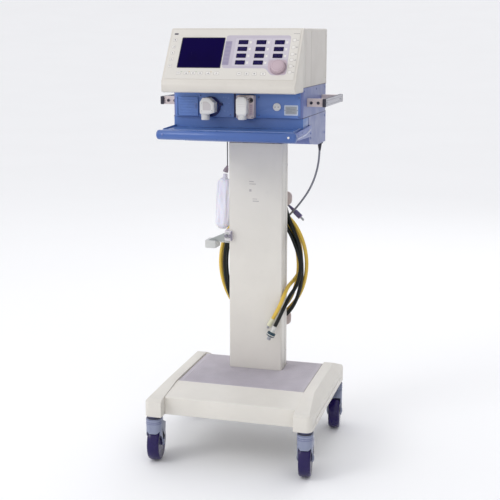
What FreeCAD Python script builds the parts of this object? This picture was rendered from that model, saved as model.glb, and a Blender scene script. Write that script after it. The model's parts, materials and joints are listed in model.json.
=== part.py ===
import FreeCAD, Part
import math
import os

V = FreeCAD.Vector

# Mechanical ventilator on its wheeled trolley, in millimetres.
# X to the right, Y to the back, Z up; the origin is on the floor under the middle of the base.

# --- Trolley ---------------------------------------------------------------
LEG_OUTER_X = 282.0
LEG_INNER_X = 222.0
LEG_END_Y = 276.0
LEG_BOTTOM_Z = 167.0
LEG_TOP_Z = 246.0
COVER_WALL = 3.0
GAP = 0.4
DECK_FRONT_Y = -238.6
DECK_REAR_Y = 240.0
DECK_TOP_Z = 239.0
DECK_FRONT_Z = 228.0
MAT_FRONT_Y = -111.0
MAT_REAR_Y = 198.0
MAT_THICKNESS = 3.0
FRAME_TUBE_X = 252.0
FRAME_TUBE_WIDTH = 40.0
FRAME_TUBE_BOTTOM_Z = 176.0
FRAME_TUBE_TOP_Z = 206.0
TUBE_WALL = 3.0
CROSS_TUBES = ((-190.0, -160.0), (84.0, 114.0), (130.0, 160.0))

# --- Casters ---------------------------------------------------------------
STEM_X = 256.0
STEM_Y = 250.0
CASTER_TRAIL = 28.0
CASTER_REST_TURN = 8.0
WHEEL_RADIUS = 62.5
WHEEL_WIDTH = 40.0
RIM_RADIUS = 47.0
FORK_WIDTH = 51.0
FORK_SLOT = 43.0
FORK_TOP_Z = 156.0
STEM_RADIUS = 6.0
SOCKET_RADIUS = 14.0
AXLE_RADIUS = 4.0
RUNNING_CLEARANCE = 0.05
PEDAL_PIVOT_Y = 31.0
PEDAL_PIVOT_Z = 142.0
PEDAL_PIN_RADIUS = 2.0

# --- Column ----------------------------------------------------------------
COLUMN_HALF_WIDTH = 94.4
COLUMN_FRONT_Y = 82.0
COLUMN_REAR_Y = 161.5
COLUMN_SEAM_Y = 132.0
COLUMN_TOP_Z = 1037.6
COLUMN_CORNER = 5.0
COLUMN_FOOT_Z = DECK_TOP_Z + GAP
COLUMN_FLARE = 24.0
MAST_HALF_X = 50.0
MAST_FRONT_Y = 97.0
MAST_REAR_Y = 147.0
MAST_WALL = 4.0
MAST_TOP_Z = 1090.0

# --- Console below the control unit ----------------------------------------
CONSOLE_HALF_WIDTH = 212.0
CONSOLE_FRONT_Y = -134.0
CONSOLE_REAR_Y = 215.7
CONSOLE_TOP_Z = 1235.4
CONSOLE_BOTTOM_Z = 1038.0
PANEL_FACE_Y = -138.0
PANEL_BOTTOM_Z = 1141.0
PANEL_TOP_Z = 1220.5
TRAY_FLOOR_Z = 1108.0
TRAY_HALF_WIDTH = 208.0
TRAY_SHEET = 2.5
TRAY_WALL_Y = -130.0
TRAY_REAR_Y = -60.0
BAR_RADIUS = 15.0
BAR_Y = -261.0
BAR_Z = 1093.0
BAR_HALF_LENGTH = 222.0

# --- Front fittings --------------------------------------------------------
VALVE_X = -84.0
VALVE_Z = 1174.0
VALVE_COLLAR_RADIUS = 24.0
LOCK_X = 130.0
LOCK_RADIUS = 11.5
DOOR_HINGE_X = -197.0
DOOR_HINGE_Y = -143.0
DOOR_PIN_RADIUS = 1.5
PORT_BORE = 11.0
EXP_PORT_X = -94.0
EXP_PORT_Z = 1134.0
INSP_PORT_X = 29.5
INSP_PORT_Z = 1138.0
SENSOR_BORE = 5.5

# --- Control unit ----------------------------------------------------------
SWITCH_PLACE = (150.0, 1300.0)
HEAD_HALF_WIDTH = 212.5
HEAD_TOP_Z = 1415.5
HEAD_SEAM_Y = -134.6
HEAD_REAR_Y = 215.7
HOUSING_BOTTOM_Z = 1235.7
SLOPE_BOTTOM_Y = -241.4
SLOPE_BOTTOM_Z = 1257.2
BEZEL_BOTTOM_Z = 1221.0
HEAD_WALL = 3.0
OVERLAY_THICKNESS = 1.2
SLOPE_LENGTH = math.hypot(HEAD_SEAM_Y - SLOPE_BOTTOM_Y, HEAD_TOP_Z - SLOPE_BOTTOM_Z)
SLOPE_ANGLE = math.degrees(math.atan2(HEAD_TOP_Z - SLOPE_BOTTOM_Z, HEAD_SEAM_Y - SLOPE_BOTTOM_Y))
SCREEN = (-169.5, 47.5, -31.5, 154.5)
WINDOW_COLUMNS = ((14.5, 4), (71.5, 4), (129.5, 3))
WINDOW_TOP_ROW = 132.0
WINDOW_PITCH = 24.2
WINDOW_SIZE = (30.0, 14.6)
KNOB_CENTRE = (152.6, 49.2)
KNOB_RADIUS = 21.5
KNOB_RECESS_RADIUS = 25.5
KNOB_SHAFT_RADIUS = 3.0

# --- Side rails ------------------------------------------------------------
RAIL_OUTER_X = 273.6
RAIL_THICKNESS = 10.0
RAIL_BOTTOM_Z = 1174.5
RAIL_TOP_Z = 1199.5
RAIL_FRONT_Y = -84.0
RAIL_REAR_Y = 190.0
RAIL_CAP = 4.0

# --- Hoses and mains lead --------------------------------------------------
HOSE_DIAMETER = 13.0
LEAD_DIAMETER = 7.0
LOOP_CENTRE = (-3.0, 598.0)
LOOP_HALF_WIDTH = 144.0
LOOP_HALF_HEIGHT = 207.0
LOOP_BAND = 41.0
GREEN_LOOP_Y = (165.0, 186.8)
YELLOW_LOOP_Y = (187.2, 209.0)
LEAD_COIL_CENTRE = (10.0, 760.0)
LEAD_COIL_RADIUS = 42.0
LEAD_COIL_BAND = 21.0
LEAD_COIL_Y = (221.0, 243.0)

YELLOW_DROP = [(48, 198, 1015), (48, 198, 962), (49, 198, 908), (52, 197, 855), (62, 195, 810),
               (84, 194, 775)]
YELLOW_TAIL = [(137, 197, 622), (135, 197, 592), (126, 185, 565), (115, 162, 548), (108, 131, 540),
               (105, 98, 527), (100, 70, 503), (88, 58, 469), (62, 66, 423)]
GREEN_DROP = [(72, 176, 1015), (72, 176, 960), (73, 176, 908), (75, 176, 862), (80, 175, 820),
              (92, 174, 778)]
GREEN_TAIL = [(141, 174, 610), (140, 164, 578), (136, 151, 548), (128, 131, 526), (118, 106, 510),
              (107, 77, 479), (92, 58, 440), (73, 49, 398)]
LEAD_DROP = [(200, 182, 1020), (199, 182, 985), (192, 187, 945), (179, 195, 905), (160, 205, 866),
             (135, 216, 830), (106, 226, 794), (76, 231, 762), (46, 232, 733)]
LEAD_TAIL = [(4, 232, 802), (30, 238, 821), (60, 248, 818), (82, 252, 796)]

os.makedirs("parts", exist_ok=True)
made = []


# --- Shape helpers ---------------------------------------------------------
def box(x0, x1, y0, y1, z0, z1):
    return Part.makeBox(x1 - x0, y1 - y0, z1 - z0, V(x0, y0, z0))


def rod(radius, start, end):
    start, end = V(*start), V(*end)
    return Part.makeCylinder(radius, (end - start).Length, start, end - start)


def cone(radius_start, radius_end, start, end):
    start, end = V(*start), V(*end)
    return Part.makeCone(radius_start, radius_end, (end - start).Length, start, end - start)


def polygon_face(points):
    return Part.Face(Part.makePolygon(points + [points[0]]))


def prism_x(points, x0, x1):
    """A (y, z) outline pulled along X."""
    return polygon_face([V(x0, y, z) for y, z in points]).extrude(V(x1 - x0, 0, 0))


def prism_y(points, y0, y1):
    """An (x, z) outline pulled along Y."""
    return polygon_face([V(x, y0, z) for x, z in points]).extrude(V(0, y1 - y0, 0))


def round_wire(x0, x1, y0, y1, radius):
    """A rectangle in the XY plane with round corners."""
    corners = [(x1 - radius, y1 - radius, 0), (x0 + radius, y1 - radius, 90),
               (x0 + radius, y0 + radius, 180), (x1 - radius, y0 + radius, 270)]
    edges = []
    last = None
    for cx, cy, start in corners:
        arc = [V(cx + radius * math.cos(math.radians(start + turn)),
                 cy + radius * math.sin(math.radians(start + turn)), 0) for turn in (0, 45, 90)]
        if last is not None:
            edges.append(Part.LineSegment(last, arc[0]).toShape())
        edges.append(Part.Arc(*arc).toShape())
        last = arc[2]
    first = V(x1, y1 - radius, 0)
    edges.append(Part.LineSegment(last, first).toShape())
    return Part.Wire(edges)


def round_box(x0, x1, y0, y1, z0, z1, radius):
    """A box whose four upright edges are round."""
    solid = Part.Face(round_wire(x0, x1, y0, y1, radius)).extrude(V(0, 0, z1 - z0))
    solid.translate(V(0, 0, z0))
    return solid


def round_slab(x0, x1, z0, z1, y0, y1, radius):
    """A plate that stands in the XZ plane, with round corners."""
    solid = Part.Face(round_wire(x0, x1, z0, z1, radius)).extrude(V(0, 0, y1 - y0))
    solid.rotate(V(0, 0, 0), V(1, 0, 0), 90)
    solid.translate(V(0, y1, 0))
    return solid


def ellipse_slab(centre, half_width, half_height, y0, y1):
    """An upright ellipse in the XZ plane, pulled along Y."""
    curve = Part.Ellipse(V(0, 0, 0), half_height, half_width).toShape()
    solid = Part.Face(Part.Wire([curve])).extrude(V(0, 0, y1 - y0))
    solid.rotate(V(0, 0, 0), V(0, 0, 1), 90)
    solid.rotate(V(0, 0, 0), V(1, 0, 0), 90)
    solid.translate(V(centre[0], y1, centre[1]))
    return solid


def revolve_z(points, centre):
    """An (r, z) outline turned about an upright axis through centre."""
    face = polygon_face([V(r, 0, z) for r, z in points])
    solid = face.revolve(V(0, 0, 0), V(0, 0, 1), 360)
    solid.translate(V(*centre))
    return solid


def fuse_all(shapes):
    return shapes[0].multiFuse(shapes[1:]).removeSplitter() if len(shapes) > 1 else shapes[0]


def mirror_x(shape):
    return shape.mirror(V(0, 0, 0), V(1, 0, 0))


def on_slope(shape):
    """Puts a shape drawn flat (x, up the slope, outwards) onto the sloping control panel."""
    place = FreeCAD.Placement(V(0, SLOPE_BOTTOM_Y, SLOPE_BOTTOM_Z),
                              FreeCAD.Rotation(V(1, 0, 0), SLOPE_ANGLE))
    placed = shape.copy()
    placed.Placement = place.multiply(placed.Placement)
    return placed


def save(name, *solids):
    shape = solids[0] if len(solids) == 1 else Part.makeCompound(list(solids))
    shape.exportStep(os.path.join("parts", name + ".step"))
    made.append((name, shape))


# --- Cords -----------------------------------------------------------------
def route_path(points):
    """Straight runs joined by tangent arcs, each as large as its two runs allow."""
    knots = [V(*p) for p in points]
    edges = []
    radii = []
    at = knots[0]
    for before, corner, after in zip(knots, knots[1:], knots[2:]):
        run_in = corner - before
        run_out = after - corner
        half_turn = run_in.getAngle(run_out) / 2
        cut = 0.45 * min(run_in.Length, run_out.Length)
        radii.append(cut / math.tan(half_turn))
        start = corner - V(run_in).normalize() * cut
        end = corner + V(run_out).normalize() * cut
        inward = (V(run_out).normalize() - V(run_in).normalize()).normalize()
        depth = radii[-1] * (1 / math.cos(half_turn) - 1)
        edges.append(Part.LineSegment(at, start).toShape())
        edges.append(Part.Arc(start, corner + inward * depth, end).toShape())
        at = end
    edges.append(Part.LineSegment(at, knots[-1]).toShape())
    return Part.Wire(edges), radii


def tube(name, points, diameter):
    path, radii = route_path(points)
    start = V(*points[0])
    along = V(*points[1]) - start
    section = Part.Wire([Part.makeCircle(diameter / 2, start, along)])
    solid = path.makePipeShell([section], True, False)
    expected = math.pi * diameter ** 2 / 4 * path.Length
    print(f"{name}: length {path.Length:.1f}, tightest radius {min(radii):.1f}, "
          f"volume over section x length {solid.Volume / expected:.4f}, valid {solid.isValid()}")
    return solid


# --- Trolley ---------------------------------------------------------------
def leg_form(inset):
    """The left-hand leg cover's outer form, or its hollow when inset by the wall."""
    end = LEG_END_Y - inset
    top = LEG_TOP_Z - inset
    outer = -LEG_OUTER_X + inset
    inner = -LEG_INNER_X - inset
    side = prism_x([(-end, LEG_BOTTOM_Z), (-end, 218 - inset), (-end + 12, 226 - inset),
                    (-112, top), (206, top), (end - 10, 222 - inset), (end, 210 - inset),
                    (end, LEG_BOTTOM_Z)], outer, inner)
    plan = round_box(outer, inner + 60, -end, end, LEG_BOTTOM_Z, top, 22 - inset)
    section = prism_y([(outer, LEG_BOTTOM_Z), (outer, 214), (outer + 26, top), (inner, top),
                       (inner, LEG_BOTTOM_Z)], -end, end)
    return side.common(plan).common(section)


def leg_cover():
    cover = leg_form(0).cut(leg_form(COVER_WALL))
    groove = box(-LEG_OUTER_X - 1, -LEG_OUTER_X + 1.2, -LEG_END_Y, LEG_END_Y, 179, 181)
    for y0, y1 in CROSS_TUBES:
        opening = box(-LEG_INNER_X - 4, -LEG_INNER_X + 1, y0 - 1, y1 + 1, LEG_BOTTOM_Z - 1,
                      FRAME_TUBE_TOP_Z + 1)
        cover = cover.cut(opening)
    return cover.cut(groove)


def frame_tubes(inset):
    """The side tubes, cross tubes and mast, or their bores when inset by the tube's wall."""
    half = FRAME_TUBE_WIDTH / 2 - inset
    low, high = FRAME_TUBE_BOTTOM_Z + inset, FRAME_TUBE_TOP_Z - inset
    tubes = []
    for x in (-FRAME_TUBE_X, FRAME_TUBE_X):
        tubes.append(box(x - half, x + half, -268 + inset, 268 - inset, low, high))
    for y0, y1 in CROSS_TUBES:
        tubes.append(box(-FRAME_TUBE_X, FRAME_TUBE_X, y0 + inset, y1 - inset, low, high))
    return tubes


def build_frame():
    """Welded steel frame: two side tubes, three cross tubes, caster sockets and the mast."""
    tubes = fuse_all(frame_tubes(0)).cut(fuse_all(frame_tubes(TUBE_WALL)))
    mast = box(-MAST_HALF_X, MAST_HALF_X, MAST_FRONT_Y, MAST_REAR_Y, FRAME_TUBE_TOP_Z, MAST_TOP_Z)
    foot = box(-MAST_HALF_X - 20, MAST_HALF_X + 20, 84, 160, FRAME_TUBE_TOP_Z - 1,
               FRAME_TUBE_TOP_Z + 6)
    mast = mast.cut(box(-MAST_HALF_X + MAST_WALL, MAST_HALF_X - MAST_WALL, MAST_FRONT_Y + MAST_WALL,
                        MAST_REAR_Y - MAST_WALL, FRAME_TUBE_TOP_Z - 1, MAST_TOP_Z + 1))
    frame = fuse_all([tubes, foot, mast])
    corners = [(x, y) for x in (-STEM_X, STEM_X) for y in (-STEM_Y, STEM_Y)]
    sockets = [rod(SOCKET_RADIUS, (*at, LEG_BOTTOM_Z + GAP), (*at, FRAME_TUBE_TOP_Z))
               for at in corners]
    frame = fuse_all([frame] + sockets)
    for at in corners:
        frame = frame.cut(rod(STEM_RADIUS + RUNNING_CLEARANCE, (*at, LEG_BOTTOM_Z - 1),
                              (*at, FRAME_TUBE_TOP_Z + 1)))
    save("trolley_frame", frame)


def build_legs():
    left = leg_cover()
    save("left_leg", left)
    save("right_leg", mirror_x(left))


def deck_outline(inset):
    recess = DECK_TOP_Z - inset
    lip = recess + MAT_THICKNESS
    mat_front = MAT_FRONT_Y - GAP - inset
    mat_rear = MAT_REAR_Y + GAP + inset
    return [(DECK_FRONT_Y + inset, LEG_BOTTOM_Z), (DECK_FRONT_Y + inset, DECK_FRONT_Z - inset - 3),
            (DECK_FRONT_Y + inset + 4, DECK_FRONT_Z - inset), (mat_front, lip),
            (mat_front, recess), (mat_rear, recess),
            (mat_rear, lip), (DECK_REAR_Y - inset - 6, DECK_FRONT_Z - inset),
            (DECK_REAR_Y - inset, DECK_FRONT_Z - inset - 6), (DECK_REAR_Y - inset, LEG_BOTTOM_Z)]


def build_deck():
    half = LEG_INNER_X - GAP
    deck = prism_x(deck_outline(0), -half, half)
    hollow = prism_x(deck_outline(COVER_WALL), -half + COVER_WALL, half - COVER_WALL)
    deck = deck.cut(hollow)
    for y0, y1 in CROSS_TUBES:
        deck = deck.cut(box(-half - 1, half + 1, y0 - 1, y1 + 1, LEG_BOTTOM_Z - 1,
                            FRAME_TUBE_TOP_Z + 1))
    deck = deck.cut(box(-MAST_HALF_X - 1, MAST_HALF_X + 1, MAST_FRONT_Y - 1, MAST_REAR_Y + 1,
                        LEG_BOTTOM_Z, LEG_TOP_Z))
    save("base_deck", deck)
    mat = box(-half + 4, half - 4, MAT_FRONT_Y, MAT_REAR_Y, DECK_TOP_Z, DECK_TOP_Z + MAT_THICKNESS)
    side = COLUMN_HALF_WIDTH + 1
    foot = round_box(-side, side, COLUMN_FRONT_Y - 1, COLUMN_REAR_Y + 1, DECK_TOP_Z - 1, LEG_TOP_Z,
                     COLUMN_CORNER + 1)
    flare = box(-side + 6, side - 6, COLUMN_REAR_Y - 1, COLUMN_REAR_Y + COLUMN_FLARE + 1,
                DECK_TOP_Z - 1, LEG_TOP_Z)
    save("deck_mat", mat.cut(foot).cut(flare))


# --- Casters ---------------------------------------------------------------
def caster_place(shape, x, y, turn):
    shape.rotate(V(0, 0, 0), V(0, 0, 1), turn)
    shape.translate(V(x, y, 0))
    return shape


def fork_shape(with_pedal):
    half = FORK_WIDTH / 2
    side = [(-24, FORK_TOP_Z), (20, FORK_TOP_Z), (23, 137), (34, 134), (62, 120), (57, 92),
            (42, 54), (34, 47), (24, 50), (10, 84), (-24, 106)]
    hood = prism_x(side, -half, half)
    hood = hood.common(round_box(-half, half, -24, 90, 0, FORK_TOP_Z, 21))
    wheel_centre = (CASTER_TRAIL, WHEEL_RADIUS)
    hood = hood.cut(rod(WHEEL_RADIUS + 4, (-FORK_SLOT / 2, *wheel_centre),
                        (FORK_SLOT / 2, *wheel_centre)))
    stem = rod(STEM_RADIUS, (0, 0, FORK_TOP_Z - 4), (0, 0, FRAME_TUBE_TOP_Z - 2))
    parts = [hood, stem]
    if with_pedal:
        for x0 in (-20.0, 15.0):
            parts.append(prism_x([(25, 132), (37, 128), (37, 146), (27, 148)], x0, x0 + 5))
        parts.append(rod(PEDAL_PIN_RADIUS, (-19, PEDAL_PIVOT_Y, PEDAL_PIVOT_Z),
                         (19, PEDAL_PIVOT_Y, PEDAL_PIVOT_Z)))
    fork = fuse_all(parts)
    bore = rod(AXLE_RADIUS, (-half - 1, *wheel_centre), (half + 1, *wheel_centre))
    axle = rod(AXLE_RADIUS, (-half, *wheel_centre), (half, *wheel_centre))
    heads = [rod(8, (side_x, *wheel_centre), (side_x + out, *wheel_centre))
             for side_x, out in ((-half, -2), (half, 2))]
    return fork.cut(bore), fuse_all([axle] + heads)


def wheel_shape():
    half = WHEEL_WIDTH / 2
    tread = [(RIM_RADIUS, -half + 2), (55, -half), (60, -half + 5), (WHEEL_RADIUS, -6),
             (WHEEL_RADIUS, 6), (60, half - 5), (55, half), (RIM_RADIUS, half - 2)]
    rim = [(AXLE_RADIUS + RUNNING_CLEARANCE, -20), (14, -20), (16, -12), (38, -10), (42, -16),
           (RIM_RADIUS, -16), (RIM_RADIUS, 16), (42, 16), (38, 10), (16, 12), (14, 20),
           (AXLE_RADIUS + RUNNING_CLEARANCE, 20)]
    shapes = []
    for outline in (rim, tread):
        shape = revolve_z(outline, (0, 0, 0))
        shape.rotate(V(0, 0, 0), V(0, 1, 0), 90)
        shape.translate(V(0, CASTER_TRAIL, WHEEL_RADIUS))
        shapes.append(shape)
    return shapes


def pedal_shape():
    lever = prism_x([(31, 146.5), (35, 146), (66, 157), (69, 153), (36, 140), (31, 138)], -14, 14)
    hub = rod(4.5, (-14, PEDAL_PIVOT_Y, PEDAL_PIVOT_Z), (14, PEDAL_PIVOT_Y, PEDAL_PIVOT_Z))
    bore = rod(PEDAL_PIN_RADIUS + RUNNING_CLEARANCE, (-15, PEDAL_PIVOT_Y, PEDAL_PIVOT_Z),
               (15, PEDAL_PIVOT_Y, PEDAL_PIVOT_Z))
    return fuse_all([lever, hub]).cut(bore)


def build_casters():
    """Front casters trail to the back and rear casters to the front, each turned a little."""
    places = (("fl", -1, -1), ("fr", 1, -1), ("rl", -1, 1), ("rr", 1, 1))
    collars = []
    for name, side, end in places:
        at = (side * STEM_X, end * STEM_Y)
        turn = CASTER_REST_TURN + (180 if end > 0 else 0)
        braked = end < 0
        fork, axle = fork_shape(braked)
        save("fork_" + name, caster_place(fork, *at, turn), caster_place(axle, *at, turn))
        save("wheel_" + name, *[caster_place(s, *at, turn) for s in wheel_shape()])
        if braked:
            save("pedal_" + name, caster_place(pedal_shape(), *at, turn))
        collar = rod(22.5, (*at, FORK_TOP_Z + 1.5), (*at, LEG_BOTTOM_Z))
        collars.append(collar.cut(rod(STEM_RADIUS + RUNNING_CLEARANCE, (*at, 150), (*at, 170))))
    save("caster_collars", *collars)


# --- Column ----------------------------------------------------------------
def build_column():
    x, y0, y1 = COLUMN_HALF_WIDTH, COLUMN_FRONT_Y, COLUMN_REAR_Y
    outer = round_box(-x, x, y0, y1, COLUMN_FOOT_Z, COLUMN_TOP_Z, COLUMN_CORNER)
    w = COVER_WALL
    inner = round_box(-x + w, x - w, y0 + w, y1 - w, COLUMN_FOOT_Z - 1, COLUMN_TOP_Z + 1,
                      COLUMN_CORNER - w)
    shell = outer.cut(inner)
    front = shell.common(box(-x, x, y0, COLUMN_SEAM_Y - GAP / 2, 0, 1100))
    save("column_front_cover", front)
    flare = [(y1 - 1, COLUMN_FOOT_Z), (y1 + COLUMN_FLARE, COLUMN_FOOT_Z),
             (y1 + COLUMN_FLARE - 6, 280), (y1, 328), (y1 - 1, 328)]
    rear = shell.common(box(-x, x, COLUMN_SEAM_Y + GAP / 2, y1, 0, 1100))
    rear = fuse_all([rear, prism_x(flare, -x + 6, x - 6)])
    save("column_rear_cover", rear)


def build_hooks():
    """Wide saddles that the hose loop lies on, each with a plate that keeps the loop on it."""
    inner_width = LOOP_HALF_WIDTH - LOOP_BAND / 2 - 0.6
    inner_height = LOOP_HALF_HEIGHT - LOOP_BAND / 2 - 0.6
    inside = ellipse_slab(LOOP_CENTRE, inner_width, inner_height, COLUMN_REAR_Y, 214)
    top = inside.common(box(-62, 56, COLUMN_REAR_Y, 214, 746, 800))
    upper = fuse_all([top, box(-62, 56, 210.5, 218, 746, 830),
                      round_slab(-100, 97, 809, 857, 210.5, 218, 18)])
    peg = rod(8, (LEAD_COIL_CENTRE[0], 216, 782.5), (LEAD_COIL_CENTRE[0], 248, 782.5))
    stop = rod(12, (LEAD_COIL_CENTRE[0], 244, 782.5), (LEAD_COIL_CENTRE[0], 248, 782.5))
    upper = fuse_all([upper, peg, stop])
    bottom = inside.common(box(-62, 56, COLUMN_REAR_Y, 214, 400, 450))
    lower = fuse_all([bottom, box(-62, 56, 210.5, 218, 400, 450),
                      round_slab(-97, 97, 373, 425, 210.5, 218, 18)])
    save("hose_hooks", upper, lower)


# --- Console and tray ------------------------------------------------------
def build_console():
    half = CONSOLE_HALF_WIDTH
    upper = round_box(-half, half, CONSOLE_FRONT_Y, CONSOLE_REAR_Y, PANEL_BOTTOM_Z, CONSOLE_TOP_Z, 8)
    lower = prism_x([(-57, PANEL_BOTTOM_Z + 1), (-41, 1060), (-30, 1052), (92, CONSOLE_BOTTOM_Z),
                     (CONSOLE_REAR_Y, CONSOLE_BOTTOM_Z), (CONSOLE_REAR_Y, PANEL_BOTTOM_Z + 1)],
                    -half, half)
    shell = fuse_all([upper, lower])
    w = HEAD_WALL
    hollow = box(-half + w, half - w, CONSOLE_FRONT_Y + w, CONSOLE_REAR_Y - w, PANEL_BOTTOM_Z + w,
                 CONSOLE_TOP_Z + 1)
    low_hollow = prism_x([(-57 + w, PANEL_BOTTOM_Z + w + 1), (-38, 1062), (-28, 1056), (93, 1041),
                          (CONSOLE_REAR_Y - w, 1041), (CONSOLE_REAR_Y - w, PANEL_BOTTOM_Z + w + 1)],
                         -half + w, half - w)
    shell = shell.cut(hollow).cut(low_hollow)
    shell = shell.cut(box(-MAST_HALF_X - 0.5, MAST_HALF_X + 0.5, MAST_FRONT_Y - 0.5,
                          MAST_REAR_Y + 0.5, CONSOLE_BOTTOM_Z - 2, 1060))
    for x in (VALVE_X, LOCK_X):
        shell = shell.cut(rod(6, (x, CONSOLE_FRONT_Y - 1, VALVE_Z), (x, CONSOLE_FRONT_Y + 4, VALVE_Z)))
    save("console_shell", shell)


def build_front_panel():
    """Blue front plate with the valve collar, the coin lock's hole and the door's hinge lugs."""
    half = CONSOLE_HALF_WIDTH - 8
    panel = box(-half, half, PANEL_FACE_Y, CONSOLE_FRONT_Y, PANEL_BOTTOM_Z, PANEL_TOP_Z)
    collar = rod(VALVE_COLLAR_RADIUS, (VALVE_X, PANEL_FACE_Y + 0.5, VALVE_Z),
                 (VALVE_X, PANEL_FACE_Y - 13, VALVE_Z))
    lugs = []
    for z0, z1 in ((1145.0, 1149.6), (1197.4, 1202.0)):
        lugs.append(box(DOOR_HINGE_X - 2.5, DOOR_HINGE_X + 2.5, DOOR_HINGE_Y - 2.5,
                        PANEL_FACE_Y + 0.5, z0, z1))
    pin = rod(DOOR_PIN_RADIUS, (DOOR_HINGE_X, DOOR_HINGE_Y, 1146), (DOOR_HINGE_X, DOOR_HINGE_Y, 1201))
    panel = fuse_all([panel, collar, pin] + lugs)
    panel = panel.cut(rod(20.1, (VALVE_X, PANEL_FACE_Y - 14, VALVE_Z),
                          (VALVE_X, PANEL_FACE_Y - 4, VALVE_Z)))
    panel = panel.cut(rod(3 + RUNNING_CLEARANCE, (LOCK_X, PANEL_FACE_Y - 1, VALVE_Z + 2),
                          (LOCK_X, CONSOLE_FRONT_Y + 1, VALVE_Z + 2)))
    panel = panel.cut(box(-6.6, -4.6, PANEL_FACE_Y - 1, PANEL_FACE_Y + 2, PANEL_BOTTOM_Z - 1,
                          PANEL_TOP_Z + 1))
    save("front_panel", panel)

    door = box(DOOR_HINGE_X + 4, -127, PANEL_FACE_Y - 5.5, PANEL_FACE_Y - 0.4, 1144, 1203)
    knuckle = rod(3, (DOOR_HINGE_X, DOOR_HINGE_Y, 1150), (DOOR_HINGE_X, DOOR_HINGE_Y, 1197))
    strap = box(DOOR_HINGE_X, DOOR_HINGE_X + 6, DOOR_HINGE_Y - 0.5, DOOR_HINGE_Y + 2, 1150, 1197)
    door = fuse_all([door, knuckle, strap])
    door = door.cut(rod(DOOR_PIN_RADIUS + RUNNING_CLEARANCE, (DOOR_HINGE_X, DOOR_HINGE_Y, 1140),
                        (DOOR_HINGE_X, DOOR_HINGE_Y, 1210)))
    for index in range(6):
        z = 1152 + index * 8.6
        door = door.cut(box(-188, -134, PANEL_FACE_Y - 6, PANEL_FACE_Y - 4.3, z, z + 2))
    save("sensor_door", door)

    stud = rod(3, (LOCK_X, PANEL_FACE_Y - 1, VALVE_Z + 2), (LOCK_X, CONSOLE_FRONT_Y + 3, VALVE_Z + 2))
    head = cone(LOCK_RADIUS, LOCK_RADIUS - 1.2, (LOCK_X, PANEL_FACE_Y - 0.4, VALVE_Z + 2),
                (LOCK_X, PANEL_FACE_Y - 5, VALVE_Z + 2))
    slot = box(LOCK_X - 8, LOCK_X + 8, PANEL_FACE_Y - 6, PANEL_FACE_Y - 3.4, VALVE_Z + 1, VALVE_Z + 3)
    save("coin_lock", fuse_all([head, stud]).cut(slot))


def build_valves():
    """Expiratory valve with its bayonet ring, and the inspiratory block with its port."""
    front = PANEL_FACE_Y
    ring = rod(31, (VALVE_X, front - 0.4, VALVE_Z), (VALVE_X, front - 11, VALVE_Z))
    tab = box(VALVE_X + 26, VALVE_X + 38, front - 11, front - 3, VALVE_Z + 2, VALVE_Z + 12)
    ring = fuse_all([ring, tab])
    bore = rod(VALVE_COLLAR_RADIUS + RUNNING_CLEARANCE, (VALVE_X, front + 1, VALVE_Z),
               (VALVE_X, front - 12, VALVE_Z))
    save("exp_lock_ring", ring.cut(bore))

    plug = rod(20, (VALVE_X, front - 5, VALVE_Z), (VALVE_X, front - 15, VALVE_Z))
    body = prism_y([(-107, 1158), (-107, 1190), (-98, 1203), (-79, 1203), (-61, 1188),
                    (-61, 1158), (-80, 1152), (-104, 1152)], front - 48, front - 14)
    port = rod(13, (EXP_PORT_X, front - 31, 1156), (EXP_PORT_X, front - 31, EXP_PORT_Z))
    valve = fuse_all([plug, body, port])
    valve = valve.cut(rod(PORT_BORE, (EXP_PORT_X, front - 31, EXP_PORT_Z - 1),
                          (EXP_PORT_X, front - 31, 1170)))
    save("exp_valve_body", valve)

    block = round_slab(6, 62, 1140, 1212, front - 28, front, 5)
    block = block.cut(rod(SENSOR_BORE, (53, front - 30, 1197), (53, front - 18, 1197)))
    save("insp_block", block)
    elbow = prism_y([(13, 1158), (13, 1200), (20, 1208), (38, 1208), (46.5, 1198), (46.5, 1158),
                     (42, 1152), (17, 1152)], front - 56, front - 28)
    spout = rod(13, (INSP_PORT_X, front - 42, 1156), (INSP_PORT_X, front - 42, INSP_PORT_Z))
    elbow = fuse_all([elbow, spout])
    save("insp_port", elbow.cut(rod(PORT_BORE, (INSP_PORT_X, front - 42, INSP_PORT_Z - 1),
                                    (INSP_PORT_X, front - 42, 1172))))


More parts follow.
